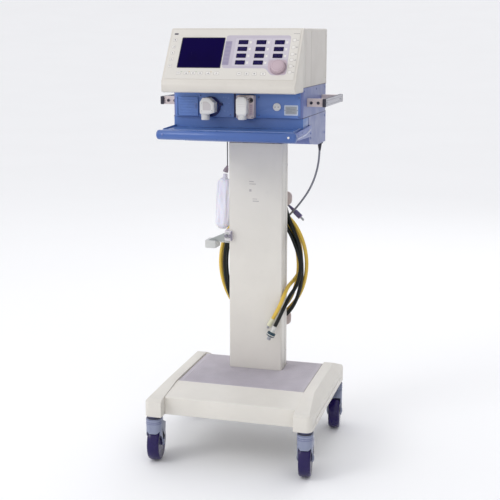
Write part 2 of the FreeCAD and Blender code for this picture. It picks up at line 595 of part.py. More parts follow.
def build_tray():
    half = TRAY_HALF_WIDTH
    floor_bottom = TRAY_FLOOR_Z - TRAY_SHEET
    floor = box(-half, half, BAR_Y + 10, TRAY_WALL_Y + 1, floor_bottom, TRAY_FLOOR_Z)
    riser = box(-CONSOLE_HALF_WIDTH, CONSOLE_HALF_WIDTH, TRAY_WALL_Y, TRAY_REAR_Y, floor_bottom,
                PANEL_BOTTOM_Z - 0.5)
    hollow = box(-CONSOLE_HALF_WIDTH + TRAY_SHEET, CONSOLE_HALF_WIDTH - TRAY_SHEET,
                 TRAY_WALL_Y + TRAY_SHEET, TRAY_REAR_Y - TRAY_SHEET, floor_bottom - 1,
                 PANEL_BOTTOM_Z - 0.5 - TRAY_SHEET)
    lips = [prism_x([(BAR_Y + 14, floor_bottom), (BAR_Y + 14, TRAY_FLOOR_Z + 3),
                     (TRAY_WALL_Y + 1, TRAY_FLOOR_Z + 6), (TRAY_WALL_Y + 1, floor_bottom)],
                    x, x + TRAY_SHEET) for x in (-half, half - TRAY_SHEET)]
    tray = fuse_all([floor, riser.cut(hollow)] + lips)
    tray = tray.cut(rod(BAR_RADIUS + GAP, (-half - 1, BAR_Y, BAR_Z), (half + 1, BAR_Y, BAR_Z)))
    save("tray", tray)

    bar = rod(BAR_RADIUS, (-BAR_HALF_LENGTH + 6, BAR_Y, BAR_Z), (BAR_HALF_LENGTH - 6, BAR_Y, BAR_Z))
    ends = [cone(BAR_RADIUS, BAR_RADIUS - 5, (side * (BAR_HALF_LENGTH - 6), BAR_Y, BAR_Z),
                 (side * BAR_HALF_LENGTH, BAR_Y, BAR_Z)) for side in (-1, 1)]
    save("tray_bar", fuse_all([bar] + ends))

    arm = prism_x([(BAR_Y + 18, 1084), (BAR_Y + 18, 1104), (-200, 1107), (-60, 1113), (-34, 1113),
                   (-34, 1080), (-60, 1078), (-200, 1081)], CONSOLE_HALF_WIDTH + GAP,
                  CONSOLE_HALF_WIDTH + GAP + 6)
    tab = box(TRAY_HALF_WIDTH + GAP, CONSOLE_HALF_WIDTH + 3, -200, -140, 1086, 1102)
    arm = fuse_all([arm, tab])
    arm = arm.cut(rod(BAR_RADIUS + GAP, (190, BAR_Y, BAR_Z), (230, BAR_Y, BAR_Z)))
    save("tray_arms", mirror_x(arm), arm)


# --- Rails -----------------------------------------------------------------
def build_rails():
    x0, x1 = RAIL_OUTER_X - RAIL_THICKNESS, RAIL_OUTER_X
    rail = box(x0, x1, RAIL_FRONT_Y, RAIL_REAR_Y, RAIL_BOTTOM_Z, RAIL_TOP_Z)
    save("side_rails", mirror_x(rail), rail)
    blocks = []
    caps = []
    for y in (RAIL_FRONT_Y + 2, RAIL_REAR_Y - 50):
        blocks.append(box(CONSOLE_HALF_WIDTH, x0, y, y + 24, RAIL_BOTTOM_Z, RAIL_TOP_Z))
    for y in (RAIL_FRONT_Y - RAIL_CAP, RAIL_REAR_Y):
        caps.append(round_slab(x0 - 0.5, x1 + 0.5, RAIL_BOTTOM_Z - 0.5, RAIL_TOP_Z + 0.5, y,
                               y + RAIL_CAP, 2))
    save("rail_standoffs", *[mirror_x(s) for s in blocks], *blocks)
    save("rail_end_caps", *[mirror_x(s) for s in caps], *caps)


# --- Control unit ----------------------------------------------------------
def bezel_outline(inset):
    lean = math.radians(90 - SLOPE_ANGLE)
    top_y = HEAD_SEAM_Y
    slope_y = SLOPE_BOTTOM_Y + inset / math.cos(lean)
    top_z = SLOPE_BOTTOM_Z + (top_y - slope_y) / math.tan(lean)
    return [(top_y, top_z), (slope_y, SLOPE_BOTTOM_Z), (SLOPE_BOTTOM_Y - 5 + inset, 1247),
            (SLOPE_BOTTOM_Y - 6 + inset, 1236), (SLOPE_BOTTOM_Y - 2 + inset, 1224),
            (SLOPE_BOTTOM_Y + 9 + inset, BEZEL_BOTTOM_Z + inset), (top_y, BEZEL_BOTTOM_Z + inset)]


def slope_box(u0, v0, u1, v1, w0, w1, radius=0):
    if radius:
        return round_box(u0, u1, v0, v1, w0, w1, radius)
    return box(u0, u1, v0, v1, w0, w1)


def window_places():
    for left, rows in WINDOW_COLUMNS:
        for row in range(rows):
            bottom = WINDOW_TOP_ROW - row * WINDOW_PITCH
            yield left, bottom, left + WINDOW_SIZE[0], bottom + WINDOW_SIZE[1]


def build_bezel():
    half = HEAD_HALF_WIDTH
    outer = prism_x(bezel_outline(0), -half, half)
    plan = round_box(-half, half, SLOPE_BOTTOM_Y - 8, HEAD_SEAM_Y + 20, BEZEL_BOTTOM_Z, HEAD_TOP_Z, 8)
    front = round_slab(-half, half, BEZEL_BOTTOM_Z, HEAD_TOP_Z, SLOPE_BOTTOM_Y - 8, HEAD_SEAM_Y, 5)
    outer = outer.common(plan).common(front)
    hollow = prism_x(bezel_outline(HEAD_WALL), -half + HEAD_WALL, half - HEAD_WALL)
    bezel = outer.cut(hollow)
    screen_hole = slope_box(SCREEN[0] + 4, SCREEN[1] + 4, SCREEN[2] - 4, SCREEN[3] - 4, -6, 3)
    bezel = bezel.cut(on_slope(screen_hole))
    knob_hole = rod(KNOB_SHAFT_RADIUS + 1, (*KNOB_CENTRE, -8), (*KNOB_CENTRE, 4))
    save("control_bezel", bezel.cut(on_slope(knob_hole)))


def build_panel():
    overlay = slope_box(-205, 7, 205, SLOPE_LENGTH - 7, 0, OVERLAY_THICKNESS, 5)
    overlay = overlay.cut(slope_box(*SCREEN, -1, 3, 2))
    panes = []
    for place in window_places():
        overlay = overlay.cut(slope_box(*place, -1, 3, 1.5))
        inner = (place[0] + 0.2, place[1] + 0.2, place[2] - 0.2, place[3] - 0.2)
        panes.append(on_slope(slope_box(*inner, 0, OVERLAY_THICKNESS - 0.3, 1.3)))
    overlay = overlay.cut(rod(KNOB_RECESS_RADIUS, (*KNOB_CENTRE, -1), (*KNOB_CENTRE, 3)))
    save("panel_overlay", on_slope(overlay))
    save("parameter_windows", *panes)
    glass = slope_box(SCREEN[0] + 0.3, SCREEN[1] + 0.3, SCREEN[2] - 0.3, SCREEN[3] - 0.3, 0,
                      OVERLAY_THICKNESS - 0.2, 1.7)
    save("display_window", on_slope(glass))
    module = slope_box(SCREEN[0] - 2, SCREEN[1] - 2, SCREEN[2] + 2, SCREEN[3] + 2, -16, -4.5)
    save("display_module", on_slope(module))
    board = slope_box(-20, 20, 190, 160, -22, -20.4)
    holder = slope_box(KNOB_CENTRE[0] - 8, KNOB_CENTRE[1] - 8, KNOB_CENTRE[0] + 8,
                       KNOB_CENTRE[1] + 8, -20.4, -6)
    board = fuse_all([board, holder])
    board = board.cut(rod(KNOB_SHAFT_RADIUS + RUNNING_CLEARANCE, (*KNOB_CENTRE, -23),
                          (*KNOB_CENTRE, -5)))
    save("control_board", on_slope(board))


def build_knob():
    shaft = rod(KNOB_SHAFT_RADIUS, (*KNOB_CENTRE, -18), (*KNOB_CENTRE, 14))
    save("encoder_shaft", on_slope(shaft))
    knob = fuse_all([rod(KNOB_RADIUS, (*KNOB_CENTRE, 2.4), (*KNOB_CENTRE, 15)),
                     cone(KNOB_RADIUS, KNOB_RADIUS - 2.5, (*KNOB_CENTRE, 15), (*KNOB_CENTRE, 17.5))])
    for index in range(18):
        angle = math.radians(20 * index)
        x = KNOB_CENTRE[0] + (KNOB_RADIUS + 0.6) * math.cos(angle)
        y = KNOB_CENTRE[1] + (KNOB_RADIUS + 0.6) * math.sin(angle)
        knob = knob.cut(rod(1.4, (x, y, 2), (x, y, 18)))
    bore = rod(KNOB_SHAFT_RADIUS + RUNNING_CLEARANCE, (*KNOB_CENTRE, 2), (*KNOB_CENTRE, 14.3))
    save("rotary_knob", on_slope(knob.cut(bore)))


def build_housing():
    """Off-white hood of the control unit, with upright grooves in its sides."""
    half = HEAD_HALF_WIDTH
    y0 = HEAD_SEAM_Y + GAP
    outer = box(-half, half, y0, HEAD_REAR_Y, HOUSING_BOTTOM_Z, HEAD_TOP_Z)
    edges = [e for e in outer.Edges if abs(e.Vertexes[0].Z - HEAD_TOP_Z) < 0.01
             and abs(e.Vertexes[1].Z - HEAD_TOP_Z) < 0.01
             and abs(e.Vertexes[0].X - e.Vertexes[1].X) < 0.01]
    outer = outer.makeFillet(5.0, edges)
    w = HEAD_WALL
    hood = outer.cut(box(-half + w, half - w, y0 - 1, HEAD_REAR_Y + 1, HOUSING_BOTTOM_Z - 1,
                         HEAD_TOP_Z - w))
    for side in (-1, 1):
        for y, width in ((-108, 3), (-30, 3), (195, 4)):
            hood = hood.cut(box(side * half - 1.2, side * half + 1.2, y, y + width,
                                HOUSING_BOTTOM_Z + 4, HEAD_TOP_Z - 8))
    save("rear_housing", hood)

    panel = box(-half + w + GAP, half - w - GAP, HEAD_REAR_Y - 5, HEAD_REAR_Y - 2,
                HOUSING_BOTTOM_Z + 0.2, HEAD_TOP_Z - w - GAP)
    for column in range(8):
        for row in range(5):
            x = -170 + 14 * column
            z = 1290 + 18 * row
            panel = panel.cut(box(x, x + 10, HEAD_REAR_Y - 6, HEAD_REAR_Y, z, z + 5))
    switch_x, switch_z = SWITCH_PLACE
    panel = panel.cut(box(switch_x - 7, switch_x + 7, HEAD_REAR_Y - 6, HEAD_REAR_Y, switch_z - 10,
                          switch_z + 10))
    pivot_y = HEAD_REAR_Y - 3.5
    panel = panel.cut(rod(1 + RUNNING_CLEARANCE, (switch_x - 10, pivot_y, switch_z),
                          (switch_x + 10, pivot_y, switch_z)))
    save("rear_panel", panel)
    rocker = rod(9, (switch_x - 6.6, pivot_y, switch_z), (switch_x + 6.6, pivot_y, switch_z))
    rocker = rocker.common(box(switch_x - 7, switch_x + 7, pivot_y - 6, pivot_y + 5, switch_z - 10,
                               switch_z + 10))
    trunnions = rod(1, (switch_x - 9, pivot_y, switch_z), (switch_x + 9, pivot_y, switch_z))
    save("power_switch", fuse_all([rocker, trunnions]))


def build_inside():
    supply = box(50, 190, 50, 195, 1246, 1316)
    save("power_supply", supply)
    manifold = box(-150, 60, -20, 70, 1060, 1120)
    valves = [rod(16, (x, 25, 1119), (x, 25, 1165)) for x in (-110, -60, -10, 40)]
    save("gas_mixer", fuse_all([manifold] + valves))


# --- What hangs on the column ----------------------------------------------
def build_side_bracket():
    x = COLUMN_HALF_WIDTH
    shelf = box(-178, -138, 66, 122, 670, 697)
    shelf_arm = box(-139, -x - GAP, 84, 122, 689, 697)
    gusset = prism_y([(-172, 696), (-x - GAP, 730), (-x - GAP, 696)], 80, 108)
    clip = box(-x - 14, -x + 14, COLUMN_FRONT_Y - 8, COLUMN_FRONT_Y - GAP, 698, 733)
    side = box(-x - 14, -x - GAP, COLUMN_FRONT_Y - 8, 122, 698, 733)
    knobs = [rod(5.5, (x0, COLUMN_FRONT_Y - 8, 716), (x0, COLUMN_FRONT_Y - 17, 716))
             for x0 in (-x - 7, -x + 8)]
    save("side_bracket", fuse_all([shelf, shelf_arm, gusset, clip, side]), *knobs)


def build_test_lung():
    """Soft breathing bag that hangs from a wire under the console."""
    outline = [(0, 0), (11, 0), (20, 7), (25, 24), (26, 70), (25, 120), (22, 165), (16, 182),
               (7, 190), (7, 198), (0, 198)]
    bag = revolve_z(outline, (0, 0, 0))
    bag.rotate(V(0, 0, 0), V(0, 1, 0), 4)
    bag.translate(V(-131, 118, 727))
    save("test_lung", bag)
    wire = rod(1.6, (-110, 118, CONSOLE_BOTTOM_Z), (-110, 118, 947))
    cap = cone(9.5, 4, (-118, 118, 931), (-111, 118, 950))
    save("test_lung_hanger", fuse_all([wire, cap]))


# --- Fittings, hoses and lead ----------------------------------------------
def build_fittings():
    inlets = []
    for x, y, z in (YELLOW_DROP[0], GREEN_DROP[0]):
        nut = rod(11, (x, y, CONSOLE_BOTTOM_Z), (x, y, z + 9))
        inlets.append(fuse_all([nut, rod(8.5, (x, y, z + 9), (x, y, z))]))
    save("gas_inlets", *inlets)
    x, y, z = LEAD_DROP[0]
    save("mains_gland", cone(8.5, 5, (x, y, CONSOLE_BOTTOM_Z), (x, y, z)))


def loop_solid(y_range):
    half = LOOP_BAND / 2
    outer = ellipse_slab(LOOP_CENTRE, LOOP_HALF_WIDTH + half, LOOP_HALF_HEIGHT + half, *y_range)
    inner = ellipse_slab(LOOP_CENTRE, LOOP_HALF_WIDTH - half, LOOP_HALF_HEIGHT - half,
                         y_range[0] - 1, y_range[1] + 1)
    return outer.cut(inner)


def along_end(points, start, end):
    """A point that lies beyond the route's last point, on the line of its last run."""
    last, before = V(*points[-1]), V(*points[-2])
    step = (last - before).normalize()
    return tuple(last + step * start), tuple(last + step * end)


def probe_shape(points, body_radius, length):
    sleeve = rod(HOSE_DIAMETER / 2 + 1.5, *along_end(points, 0, 10))
    body = rod(body_radius, *along_end(points, 9, 9 + length))
    nose = rod(body_radius * 0.55, *along_end(points, 8 + length, 22 + length))
    return fuse_all([sleeve, body, nose])


def build_hoses():
    save("yellow_hose", tube("yellow drop", YELLOW_DROP, HOSE_DIAMETER),
         tube("yellow tail", YELLOW_TAIL, HOSE_DIAMETER))
    save("yellow_coil", loop_solid(YELLOW_LOOP_Y))
    save("yellow_probe", probe_shape(YELLOW_TAIL, 8, 8))
    save("green_hose", tube("green drop", GREEN_DROP, HOSE_DIAMETER),
         tube("green tail", GREEN_TAIL, HOSE_DIAMETER))
    save("green_coil", loop_solid(GREEN_LOOP_Y))
    save("green_probe", probe_shape(GREEN_TAIL, 14, 16))


def build_lead():
    save("mains_lead", tube("lead drop", LEAD_DROP, LEAD_DIAMETER),
         tube("lead tail", LEAD_TAIL, LEAD_DIAMETER))
    half = LEAD_COIL_BAND / 2
    x, z = LEAD_COIL_CENTRE
    y0, y1 = LEAD_COIL_Y
    coil = rod(LEAD_COIL_RADIUS + half, (x, y0, z), (x, y1, z))
    save("mains_coil", coil.cut(rod(LEAD_COIL_RADIUS - half, (x, y0 - 1, z), (x, y1 + 1, z))))
    relief = cone(4.5, 7, *along_end(LEAD_TAIL, 0, 22))
    body = rod(9.5, *along_end(LEAD_TAIL, 21, 52))
    pins = []
    for side in (-1, 1):
        start, end = along_end(LEAD_TAIL, 51, 68)
        shift = V(0, side * 5, 0)
        pins.append(rod(2.4, tuple(V(*start) + shift), tuple(V(*end) + shift)))
    save("mains_plug", fuse_all([relief, body] + pins))


build_frame()
build_legs()
build_deck()
build_casters()
build_column()
build_hooks()
build_console()
build_front_panel()
build_valves()
build_tray()
build_rails()
build_bezel()
build_panel()
build_knob()
build_housing()
build_inside()
build_side_bracket()
build_test_lung()
build_fittings()
build_hoses()
build_lead()

whole = Part.makeCompound([shape for _, shape in made])
print(len(made), "nodes; box", whole.BoundBox)
for name, shape in made:
    if not shape.isValid():
        print("not valid:", name)
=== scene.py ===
import json
import math

import bmesh
import bpy
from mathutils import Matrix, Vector


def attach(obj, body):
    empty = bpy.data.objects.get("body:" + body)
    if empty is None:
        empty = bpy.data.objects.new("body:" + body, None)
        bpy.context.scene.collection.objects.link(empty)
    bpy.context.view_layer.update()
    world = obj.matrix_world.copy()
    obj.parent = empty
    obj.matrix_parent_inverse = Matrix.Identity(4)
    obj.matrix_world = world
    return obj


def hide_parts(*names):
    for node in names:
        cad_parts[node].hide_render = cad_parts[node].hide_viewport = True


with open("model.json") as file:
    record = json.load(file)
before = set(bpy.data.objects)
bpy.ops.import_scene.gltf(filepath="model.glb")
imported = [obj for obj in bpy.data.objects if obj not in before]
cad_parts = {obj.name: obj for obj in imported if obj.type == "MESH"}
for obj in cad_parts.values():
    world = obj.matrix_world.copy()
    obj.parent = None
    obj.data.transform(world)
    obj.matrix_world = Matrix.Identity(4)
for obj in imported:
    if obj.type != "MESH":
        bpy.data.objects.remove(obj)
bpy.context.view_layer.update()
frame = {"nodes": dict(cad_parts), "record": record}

MM = 0.001
NODE_BODY = {node: body for body, nodes in frame["record"]["behaviour"]["bodies"].items() for node in nodes}
NODE_SLOT = {part["node"]: part["material_slot"] for part in frame["record"]["subparts"]}
SLOPE_FOOT = (-241.4, 1257.2)
SLOPE_HEAD = (-134.6, 1415.5)
SLOPE_TILT = math.atan2(SLOPE_HEAD[1] - SLOPE_FOOT[1], SLOPE_HEAD[0] - SLOPE_FOOT[0])
PANEL_Y = -138.0
CONSOLE_SIDE = 212.0
CONSOLE_REAR = 215.5
REAR_PANEL_Y = 213.7
COLUMN_SIDE = 94.4
COLUMN_FRONT = 81.9
FORWARD = (0, -1, 0)
BACKWARD = (0, 1, 0)
DOWN = (0, 0, -1)


# --- Materials --------------------------------------------------------------
def srgb(red, green, blue):
    """A colour as seen on a screen, 0 to 255, in the linear values that shaders use."""
    values = []
    for channel in (red, green, blue):
        share = channel / 255
        values.append(share / 12.92 if share <= 0.04045 else ((share + 0.055) / 1.055) ** 2.4)
    return (*values, 1.0)


def scaled(colour, factor):
    return (*(min(channel * factor, 1.0) for channel in colour[:3]), 1.0)


class Surface:
    """A node material that is built up from a few procedural layers in the part's own coordinates."""

    def __init__(self, name, colour, rough, metallic=0.0):
        self.material = bpy.data.materials.new(name)
        self.material.use_nodes = True
        self.tree = self.material.node_tree
        self.tree.nodes.clear()
        self.shader = self.new("ShaderNodeBsdfPrincipled")
        output = self.new("ShaderNodeOutputMaterial")
        self.link(self.shader.outputs["BSDF"], output.inputs["Surface"])
        self.shader.inputs["Metallic"].default_value = metallic
        self.shader.inputs["Roughness"].default_value = rough
        self.place = self.new("ShaderNodeTexCoord").outputs["Object"]
        self.rough = rough
        self.colour = colour
        self.shader.inputs["Base Color"].default_value = colour
        self.colour_socket = None
        self.normal_socket = None
        self.material.diffuse_color = colour

    def new(self, kind, **settings):
        node = self.tree.nodes.new(kind)
        for key, value in settings.items():
            setattr(node, key, value)
        return node

    def link(self, source, target):
        self.tree.links.new(source, target)

    def noise(self, scale, detail=3.0, stretch=None):
        node = self.new("ShaderNodeTexNoise")
        node.inputs["Scale"].default_value = scale
        node.inputs["Detail"].default_value = detail
        place = self.place
        if stretch:
            mapping = self.new("ShaderNodeMapping")
            mapping.inputs["Scale"].default_value = stretch
            self.link(place, mapping.inputs["Vector"])
            place = mapping.outputs["Vector"]
        self.link(place, node.inputs["Vector"])
        return node.outputs["Fac"]

    def bands(self, scale, direction, shape="SIN"):
        node = self.new("ShaderNodeTexWave", bands_direction=direction, wave_profile=shape)
        node.inputs["Scale"].default_value = scale
        node.inputs["Distortion"].default_value = 0.0
        self.link(self.place, node.inputs["Vector"])
        return node.outputs["Fac"]

    def curve(self, source, low, high, start=0.3, end=0.7):
        node = self.new("ShaderNodeMapRange")
        node.inputs["From Min"].default_value = start
        node.inputs["From Max"].default_value = end
        node.inputs["To Min"].default_value = low
        node.inputs["To Max"].default_value = high
        self.link(source, node.inputs["Value"])
        return node.outputs["Result"]

    def tint(self, source, colour, amount=1.0, start=0.35, end=0.65):
        """Blends another colour in where the pattern is high."""
        mix = self.new("ShaderNodeMix", data_type="RGBA")
        if self.colour_socket:
            self.link(self.colour_socket, mix.inputs["A"])
        else:
            mix.inputs["A"].default_value = self.colour
        mix.inputs["B"].default_value = colour
        self.link(self.curve(source, 0.0, amount, start, end), mix.inputs["Factor"])
        self.colour_socket = mix.outputs["Result"]
        self.link(self.colour_socket, self.shader.inputs["Base Color"])
        return self

    def gloss(self, source, spread, start=0.3, end=0.7):
        low, high = max(self.rough - spread, 0.02), min(self.rough + spread, 1.0)
        self.link(self.curve(source, low, high, start, end), self.shader.inputs["Roughness"])
        return self

    def relief(self, source, depth, strength=1.0):
        bump = self.new("ShaderNodeBump")
        bump.inputs["Strength"].default_value = strength
        bump.inputs["Distance"].default_value = depth
        self.link(source, bump.inputs["Height"])
        if self.normal_socket:
            self.link(self.normal_socket, bump.inputs["Normal"])
        self.normal_socket = bump.outputs["Normal"]
        self.link(self.normal_socket, self.shader.inputs["Normal"])
        return self

    def set(self, **sockets):
        for key, value in sockets.items():
            self.shader.inputs[key.replace("_", " ")].default_value = value
        return self


def moulded(name, colour, rough=0.42, grain=0.00005, age=None):
    """Moulded plastic: faint clouding, a fine spark-eroded grain and handled, shinier patches."""
    surface = Surface(name, colour, rough)
    surface.tint(surface.noise(5.0, 4.0), scaled(colour, 0.93))
    surface.tint(surface.noise(38.0, 5.0), age or scaled(colour, 0.9), 0.35, 0.55, 0.8)
    surface.gloss(surface.noise(14.0, 4.0), 0.07)
    surface.relief(surface.noise(1500.0, 2.0), grain)
    surface.relief(surface.noise(60.0, 2.0), grain * 2.5, 0.5)
    return surface


def coated(name, colour, rough=0.36):
    """Powder-coated sheet metal: orange peel, fine speckle and a soft clear sheen."""
    surface = Surface(name, colour, rough)
    surface.tint(surface.noise(6.0, 4.0), scaled(colour, 0.88))
    surface.tint(surface.noise(420.0, 3.0), scaled(colour, 1.22), 0.5, 0.55, 0.75)
    surface.gloss(surface.noise(22.0, 4.0), 0.08)
    surface.relief(surface.noise(260.0, 3.0), 0.00012)
    surface.relief(surface.noise(1300.0, 2.0), 0.00004)
    return surface.set(Coat_Weight=0.18, Coat_Roughness=0.22)


def rubbery(name, colour, rough=0.5, scuff=None):
    surface = Surface(name, colour, rough)
    surface.tint(surface.noise(18.0, 4.0), scaled(colour, 0.9))
    surface.tint(surface.noise(120.0, 5.0), scuff or scaled(colour, 1.5), 0.4, 0.56, 0.8)
    surface.gloss(surface.noise(30.0, 4.0), 0.09)
    surface.relief(surface.noise(900.0, 3.0), 0.00006)
    return surface


def metal(name, colour, rough=0.3, lines=(1, 60, 60)):
    """Machined or drawn metal with fine lines that run along one axis."""
    surface = Surface(name, colour, rough, 1.0)
    surface.tint(surface.noise(30.0, 3.0, lines), scaled(colour, 0.78))
    surface.gloss(surface.noise(45.0, 4.0, lines), 0.1)
    surface.relief(surface.noise(80.0, 3.0, lines), 0.00003)
    return surface


M = {
    "offwhite": moulded("case_offwhite", srgb(224, 220, 212), 0.42),
    "cover": moulded("case_column", srgb(221, 218, 213), 0.44),
    "blue": coated("coat_blue", srgb(80, 116, 182)),
    # painted shade: a greyer, darker copy of the blue for the console's sides, as they look in shade
    "blue_shaded_side": coated("coat_blue_side", srgb(104, 116, 170), 0.42),
    # painted light: a lighter copy of the blue for the front plate and the sensor door, which lie in the
    # head's shadow
    "blue_lit_panel": coated("coat_blue_panel", srgb(98, 132, 198)),
    # painted shade: a darker copy of the blue for the tray's push bar
    "blue_shaded_bar": coated("coat_blue_bar", srgb(66, 100, 168), 0.34),
    "head": moulded("case_head", srgb(212, 207, 199), 0.42),
    "hood": moulded("case_hood", srgb(206, 201, 195), 0.44),
    "blue_dark": moulded("ring_navy", srgb(22, 28, 92), 0.35),
    "frame_steel": coated("coat_graphite", srgb(92, 94, 100), 0.45),
    "collar": moulded("collar_slate", srgb(70, 72, 110), 0.45),
    "fork": moulded("fork_bluegrey", srgb(140, 147, 172), 0.3),
    "pedal": moulded("pedal_violet", srgb(74, 68, 122), 0.45),
    "white": moulded("valve_white", srgb(236, 234, 230), 0.34),
    "beige": moulded("block_beige", srgb(214, 200, 198), 0.46),
    "rail": metal("rail_drawn", srgb(190, 190, 198), 0.34, (60, 1, 60)),
    "dark": moulded("trim_black", srgb(44, 42, 58), 0.4),
    "knob": moulded("knob_rose", srgb(190, 170, 178), 0.44),
    "steel": metal("steel_brushed", srgb(176, 178, 184), 0.3, (1, 60, 60)),
    "aluminium": metal("aluminium_milled", srgb(196, 197, 200), 0.38, (60, 60, 1)),
    "bracket": moulded("bracket_grey", srgb(206, 207, 204), 0.42),
    "bracket_wedge": moulded("bracket_wedge", srgb(166, 170, 168), 0.42),
    "teal": moulded("probe_teal", srgb(14, 54, 70), 0.3),
    "pale": moulded("probe_pale", srgb(222, 220, 190), 0.36),
    "plug": moulded("plug_slate", srgb(92, 84, 124), 0.42),
    "plug_face": moulded("plug_face", srgb(170, 156, 184), 0.42),
    "sleeve": moulded("probe_sleeve", srgb(206, 206, 200), 0.36),
    "film": moulded("film_offwhite", srgb(217, 213, 206), 0.5, 0.00003),
    "field": moulded("film_lilac", srgb(190, 183, 195), 0.5, 0.00003),
    "field_edge": moulded("film_rose", srgb(192, 174, 184), 0.5, 0.00003),
    "strip": moulded("film_violet", srgb(158, 150, 172), 0.5, 0.00003),
    "key": moulded("key_pale", srgb(228, 225, 220), 0.44),
    "key_outline": moulded("key_line", srgb(176, 170, 166), 0.5),
    "legend": moulded("key_legend", srgb(120, 116, 122), 0.5),
    "lamp_green": moulded("lamp_green", srgb(120, 170, 120), 0.3),
    "lamp_amber": moulded("lamp_amber", srgb(210, 170, 90), 0.3),
    "plate": moulded("plate_silver", srgb(176, 180, 184), 0.36),
    "print_grey": moulded("print_grey", srgb(184, 178, 176), 0.5),
    "print_blue": moulded("print_blue", srgb(118, 148, 206), 0.5),
    "fork_line": moulded("fork_line", srgb(104, 108, 146), 0.4),
    "bumper": moulded("leg_bumper", srgb(232, 229, 224), 0.45),
    # painted shadow: dark strips and slots that stand in for the shade inside gaps, seams and vents
    "shadow": moulded("gap_dark", srgb(78, 76, 92), 0.6),
    "shadow_blue": moulded("gap_blue", srgb(20, 24, 72), 0.55),
    "blue_screw": metal("screw_blue", srgb(122, 136, 186), 0.35, (60, 60, 60)),
    "strip_key": moulded("film_key_violet", srgb(148, 140, 166), 0.46, 0.00003),
    "field_light": moulded("film_lilac_light", srgb(200, 194, 204), 0.5, 0.00003),
    "legend_dark": moulded("key_legend_dark", srgb(66, 62, 78), 0.5),
    "window_edge": moulded("window_edge", srgb(26, 20, 52), 0.35),
    "segment_off": moulded("segment_off", srgb(46, 34, 104), 0.3),
    "knob_face": moulded("knob_dish", srgb(180, 158, 168), 0.4),
    "knob_collar": moulded("knob_rim", srgb(168, 150, 160), 0.42),
    "plate_rim": moulded("plate_rim", srgb(214, 222, 236), 0.4),
    "plate_line": moulded("plate_line", srgb(130, 134, 142), 0.5),
    "valve_shade": moulded("valve_shade", srgb(214, 208, 206), 0.42),
    "beige_panel": moulded("block_rose", srgb(198, 178, 186), 0.46),
    "dark_line": moulded("groove_mauve", srgb(140, 122, 140), 0.5),
    # painted highlight: a pale blue strip where the tray's front lip catches the light
    "tray_painted_highlight": coated("coat_blue_edge", srgb(150, 170, 214), 0.3),
    # painted highlight: a pale blue strip along each tray arm's lit edge
    "arm_painted_highlight": coated("coat_rib", srgb(176, 184, 216), 0.3),
    # painted shade: a greyer, darker copy of the blue for the tray arms, as they look in shade
    "arm_shaded_blue": coated("coat_arm", srgb(104, 120, 182), 0.4),
    # the rails' dark lines: the two on each side are grooves, the one along the top is painted shadow
    "rail_line": moulded("rail_line", srgb(70, 66, 84), 0.45),
    "trim_grey": moulded("trim_grey", srgb(138, 134, 146), 0.42),
    "clip_pale": moulded("clip_pale", srgb(226, 220, 224), 0.38),
    "neck": moulded("bag_neck", srgb(216, 214, 226), 0.32),
    "wire": metal("wire_dark", srgb(70, 70, 84), 0.4, (60, 60, 1)),
    "cap_mauve": moulded("cap_mauve", srgb(150, 136, 146), 0.4),
}

glass = Surface("screen_glass", srgb(10, 0, 58), 0.24)
glass.tint(glass.noise(9.0, 3.0), srgb(8, 0, 48))
glass.tint(glass.bands(380.0, "X"), srgb(14, 2, 66), 0.25, 0.2, 0.9)
glass.gloss(glass.noise(26.0, 4.0), 0.05)
glass.relief(glass.noise(900.0, 2.0), 0.00001)
M["screen"] = glass.set(Specular_IOR_Level=0.04)

mat_rubber = rubbery("mat_lilac", srgb(192, 186, 194), 0.62, srgb(202, 197, 204))
mat_rubber.relief(mat_rubber.bands(80.0, "Y"), 0.0005, 0.5)
mat_rubber.tint(mat_rubber.bands(80.0, "Y"), srgb(180, 174, 183), 0.35, 0.2, 0.9)
M["mat"] = mat_rubber

M["wheel"] = rubbery("tyre_violet", srgb(26, 10, 76), 0.3, srgb(38, 20, 92)).set(
    Specular_IOR_Level=0.25, Coat_Weight=0.25, Coat_Roughness=0.14)
M["rim"] = moulded("rim_violet", srgb(26, 12, 72), 0.35).set(Specular_IOR_Level=0.25)
M["hose_yellow"] = rubbery("hose_yellow", srgb(222, 186, 70), 0.42, srgb(232, 204, 110))
M["hose_green"] = rubbery("hose_green", srgb(12, 18, 14), 0.4, srgb(24, 32, 26)).set(Specular_IOR_Level=0.3)
M["lead"] = rubbery("lead_grey", srgb(122, 124, 136), 0.45, srgb(150, 152, 160))

bag = rubbery("bag_silicone", srgb(238, 236, 243), 0.4, srgb(246, 245, 250))
bag.tint(bag.noise(3.0, 3.0, (12, 12, 1)), srgb(228, 226, 238), 0.6, 0.4, 0.65)
bag.set(Subsurface_Weight=0.2, Subsurface_Scale=0.006, Coat_Weight=0.15, Coat_Roughness=0.25)
M["bag"] = bag

board = moulded("board_green", srgb(36, 92, 62), 0.35)
board.tint(board.bands(160.0, "X", "SAW"), srgb(160, 140, 70), 0.4, 0.85, 0.95)
M["board"] = board


# --- Mesh helpers (all lengths below are in millimetres) --------------------
def at_slope(u, v, w):
    """From the control panel's own axes (across, up the slope, outwards) to the object's."""
    return (u, SLOPE_FOOT[0] + v * math.cos(SLOPE_TILT) - w * math.sin(SLOPE_TILT),
            SLOPE_FOOT[1] + v * math.sin(SLOPE_TILT) + w * math.cos(SLOPE_TILT))


def at_front(x, z, out):
    """On the blue front plate, out towards the viewer."""
    return (x, PANEL_Y - out, z)


def at_rear(x, z, out):
    """On the rear panel, out towards the back."""
    return (x, REAR_PANEL_Y + out, z)


def upright(x, y, z):
    return (x, y, z)


def facing(x, z, y):
    """An outline in x and z with its thickness along y."""
    return (x, y, z)


def sideways(y, z, x):
    """An outline in y and z with its thickness along x."""
    return (x, y, z)


